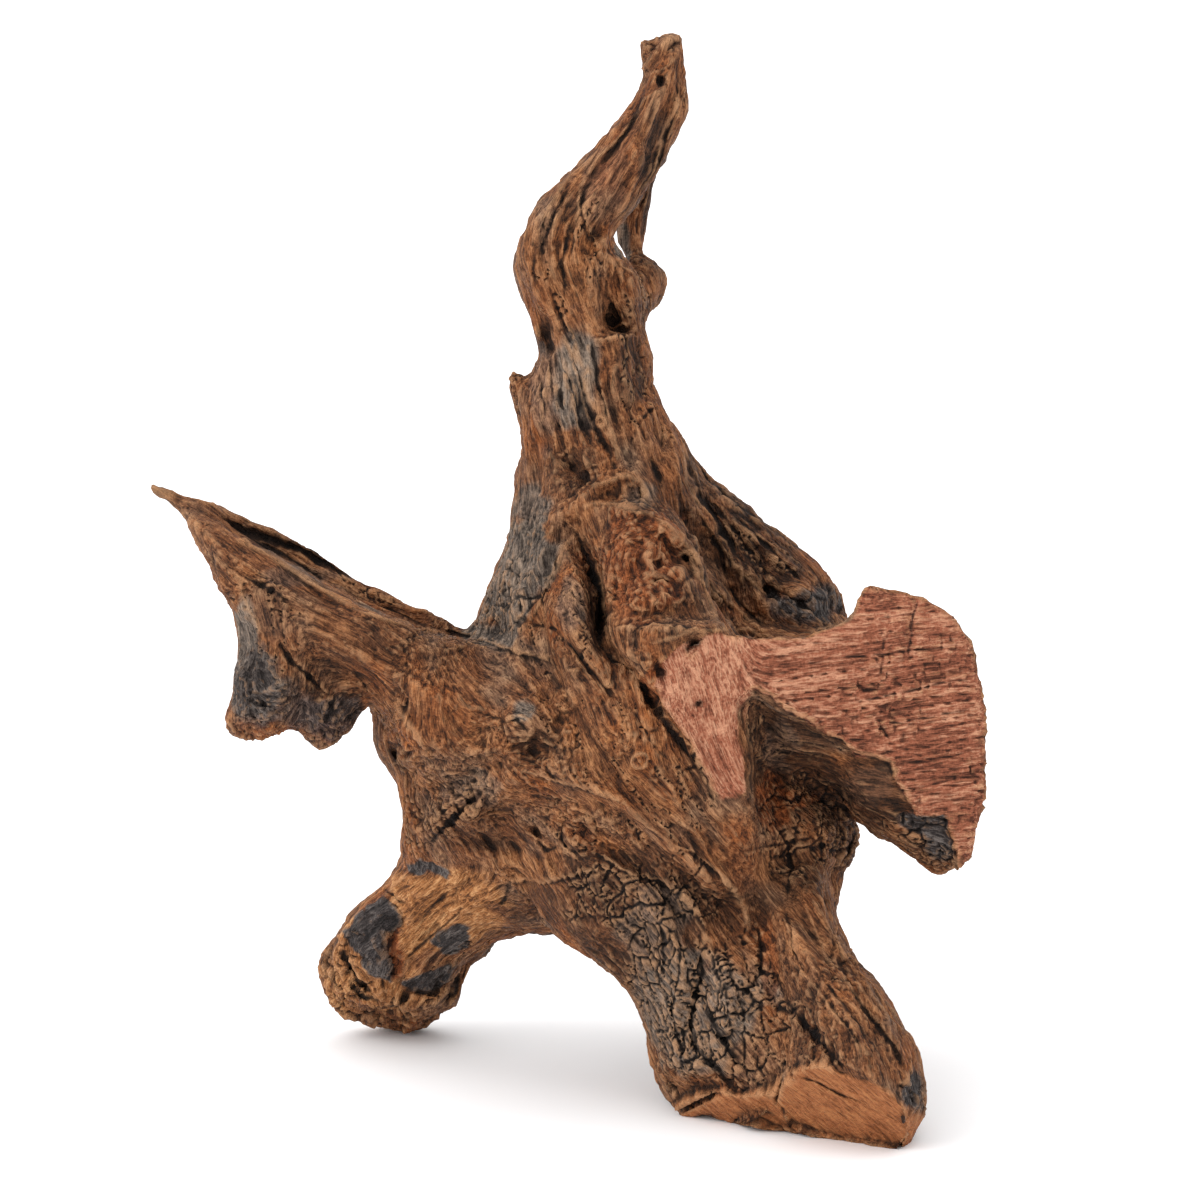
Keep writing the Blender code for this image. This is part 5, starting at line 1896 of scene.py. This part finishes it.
    def material(self) -> bpy.types.Material:
        """Builds the material.

        Returns:
            The material.
        """
        material = bpy.data.materials.new(self.name)
        material.use_nodes = True
        tree = material.node_tree
        shader = tree.nodes["Principled BSDF"]
        fibre = self.drawn_noise(tree, self.fibre, self.fibre_steps, 0.0, 0.1)
        strand = self.drawn_noise(tree, self.strand, self.strand_steps, 57.0, 0.12)
        blotch = self.stretch(tree, self.spot_noise(tree, self.blotch_size, 4), 0.3, 0.7)
        speck = self.spot_noise(tree, self.speck_size, 2)
        drawn = self.mark(tree, Mark.STREAK)

        tone: object = 0.0
        for layer, share in zip((fibre, strand, drawn, blotch), self.tone_shares):
            tone = self.add(tree, layer, tone, share)
        pale = self.stretch(tree, tone, *self.pale_tones)
        deep = self.stretch(tree, tone, *self.deep_tones)

        colour = None
        for finish in FINISHES:
            shade = self.mix(tree, pale, linear(finish.middle), linear(finish.light))
            shade = self.mix(tree, deep, shade, linear(finish.dark))
            if finish.mark is None:
                colour = shade
                continue
            there = self.stretch(tree, self.mark(tree, finish.mark), finish.low, finish.high)
            colour = self.mix(tree, there, colour, shade)

        # Paler crests (rubbing and a painted highlight), darker hollows (grime and painted shade), and
        # near-black cracks that also carry the strokes' painted shade.
        for mark, hex_colour, reach in (
            (Mark.CREST_RUB_AND_PAINTED_HIGHLIGHT, self.crest, self.crest_range),
            (Mark.HOLLOW, self.dirt_and_painted_shade, self.dirt_and_painted_shade_range),
            (Mark.CRACK, self.crack, self.crack_range),
        ):
            there = self.stretch(tree, self.mark(tree, mark), *reach)
            colour = self.mix(tree, there, colour, linear(hex_colour))

        height: object = 0.0
        for layer, share in zip((fibre, strand, speck), self.bump_shares):
            height = self.add(tree, layer, height, share)
        inputs = {"Height": height, "Distance": self.bump_depth, "Strength": 1.0}
        bump = add_node(tree, "ShaderNodeBump", inputs=inputs).outputs[0]
        tree.links.new(colour, shader.inputs["Base Color"])
        tree.links.new(bump, shader.inputs["Normal"])
        shader.inputs["Roughness"].default_value = self.roughness
        shader.inputs["Specular IOR Level"].default_value = self.specular
        return material


@dataclass(frozen=True)
class Studio:
    """The plain pale floor, the soft light and the camera."""

    floor_size: float = 60.0
    floor_colour: str = "#fbfbfc"
    lens_sensor: float = 36.0
    frame_width: float = 0.48
    centre_y: float = 600.0
    room_light: float = 1.05
    lamp_strength: float = 1.2
    # The two lamps: name, the way that the light goes, and the width of the sky that it fills, in degrees.
    lamps: tuple[tuple[str, tuple[float, float, float], float], ...] = (
        ("overhead", (0.12, 0.1, -1.0), 90),
        ("side", (0.9, 0.5, -0.6), 50),
    )

    def build(self) -> None:
        """Makes the floor, the lights and the camera."""
        self.lay_floor()
        self.light()
        self.set_camera()

    def lay_floor(self) -> None:
        """Lays a wide plain floor."""
        half = self.floor_size / 2
        mesh = bpy.data.meshes.new("floor")
        corners = [(-half, -half, 0), (half, -half, 0), (half, half, 0), (-half, half, 0)]
        mesh.from_pydata(corners, [], [(0, 1, 2, 3)])
        floor = bpy.data.objects.new("floor", mesh)
        bpy.context.scene.collection.objects.link(floor)
        material = bpy.data.materials.new("pale paper")
        material.use_nodes = True
        shader = material.node_tree.nodes["Principled BSDF"]
        shader.inputs["Base Color"].default_value = linear(self.floor_colour)
        shader.inputs["Roughness"].default_value = 1.0
        shader.inputs["Specular IOR Level"].default_value = 0.0
        floor.data.materials.append(material)

    def light(self) -> None:
        """Lights a white room, with one wide soft lamp overhead and one from the upper left."""
        world = bpy.data.worlds.new("studio")
        world.use_nodes = True
        background = world.node_tree.nodes["Background"]
        background.inputs["Color"].default_value = (1, 1, 1, 1)
        background.inputs["Strength"].default_value = self.room_light
        bpy.context.scene.world = world
        for name, way, width in self.lamps:
            self.sun(name, way, width)
        bpy.context.scene.view_settings.view_transform = "Standard"

    def sun(self, name: str, way: tuple[float, float, float], width: float) -> None:
        """Hangs a lamp that shines one way.

        Args:
            name: The lamp's name.
            way: The way that its light goes.
            width: How much of the sky it fills, in degrees.
        """
        lamp = bpy.data.lights.new(name, "SUN")
        lamp.energy = self.lamp_strength
        lamp.angle = math.radians(width)
        obj = bpy.data.objects.new(name, lamp)
        obj.rotation_euler = Vector(way).to_track_quat("-Z", "Y").to_euler()
        bpy.context.scene.collection.objects.link(obj)

    def set_camera(self) -> None:
        """Sets the camera at the photograph's eye, looking at the middle of its picture."""
        stood = Vector(VIEW.stood_at)
        eye = stood - VIEW.ahead * VIEW.distance
        target = stood + VIEW.up * (VIEW.floor_y - self.centre_y) * VIEW.step
        data = bpy.data.cameras.new("camera")
        data.sensor_width = self.lens_sensor
        data.lens = self.lens_sensor * (target - eye).length / self.frame_width
        camera = bpy.data.objects.new("camera", data)
        camera.location = eye
        camera.rotation_euler = (target - eye).to_track_quat("-Z", "Y").to_euler()
        bpy.context.scene.collection.objects.link(camera)
        bpy.context.scene.camera = camera


def main() -> None:
    """Builds the driftwood and its studio."""
    logging.basicConfig(level=logging.INFO, format="%(relativeCreated)d ms: %(message)s")
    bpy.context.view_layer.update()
    wood = Stump().build()
    wood.data.materials.append(DriedWood().material())
    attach(wood, "root")
    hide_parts("driftwood")
    LOG.info("%s: %d faces", wood.name, len(wood.data.polygons))
    Studio().build()


if __name__ == "__main__":
    main()
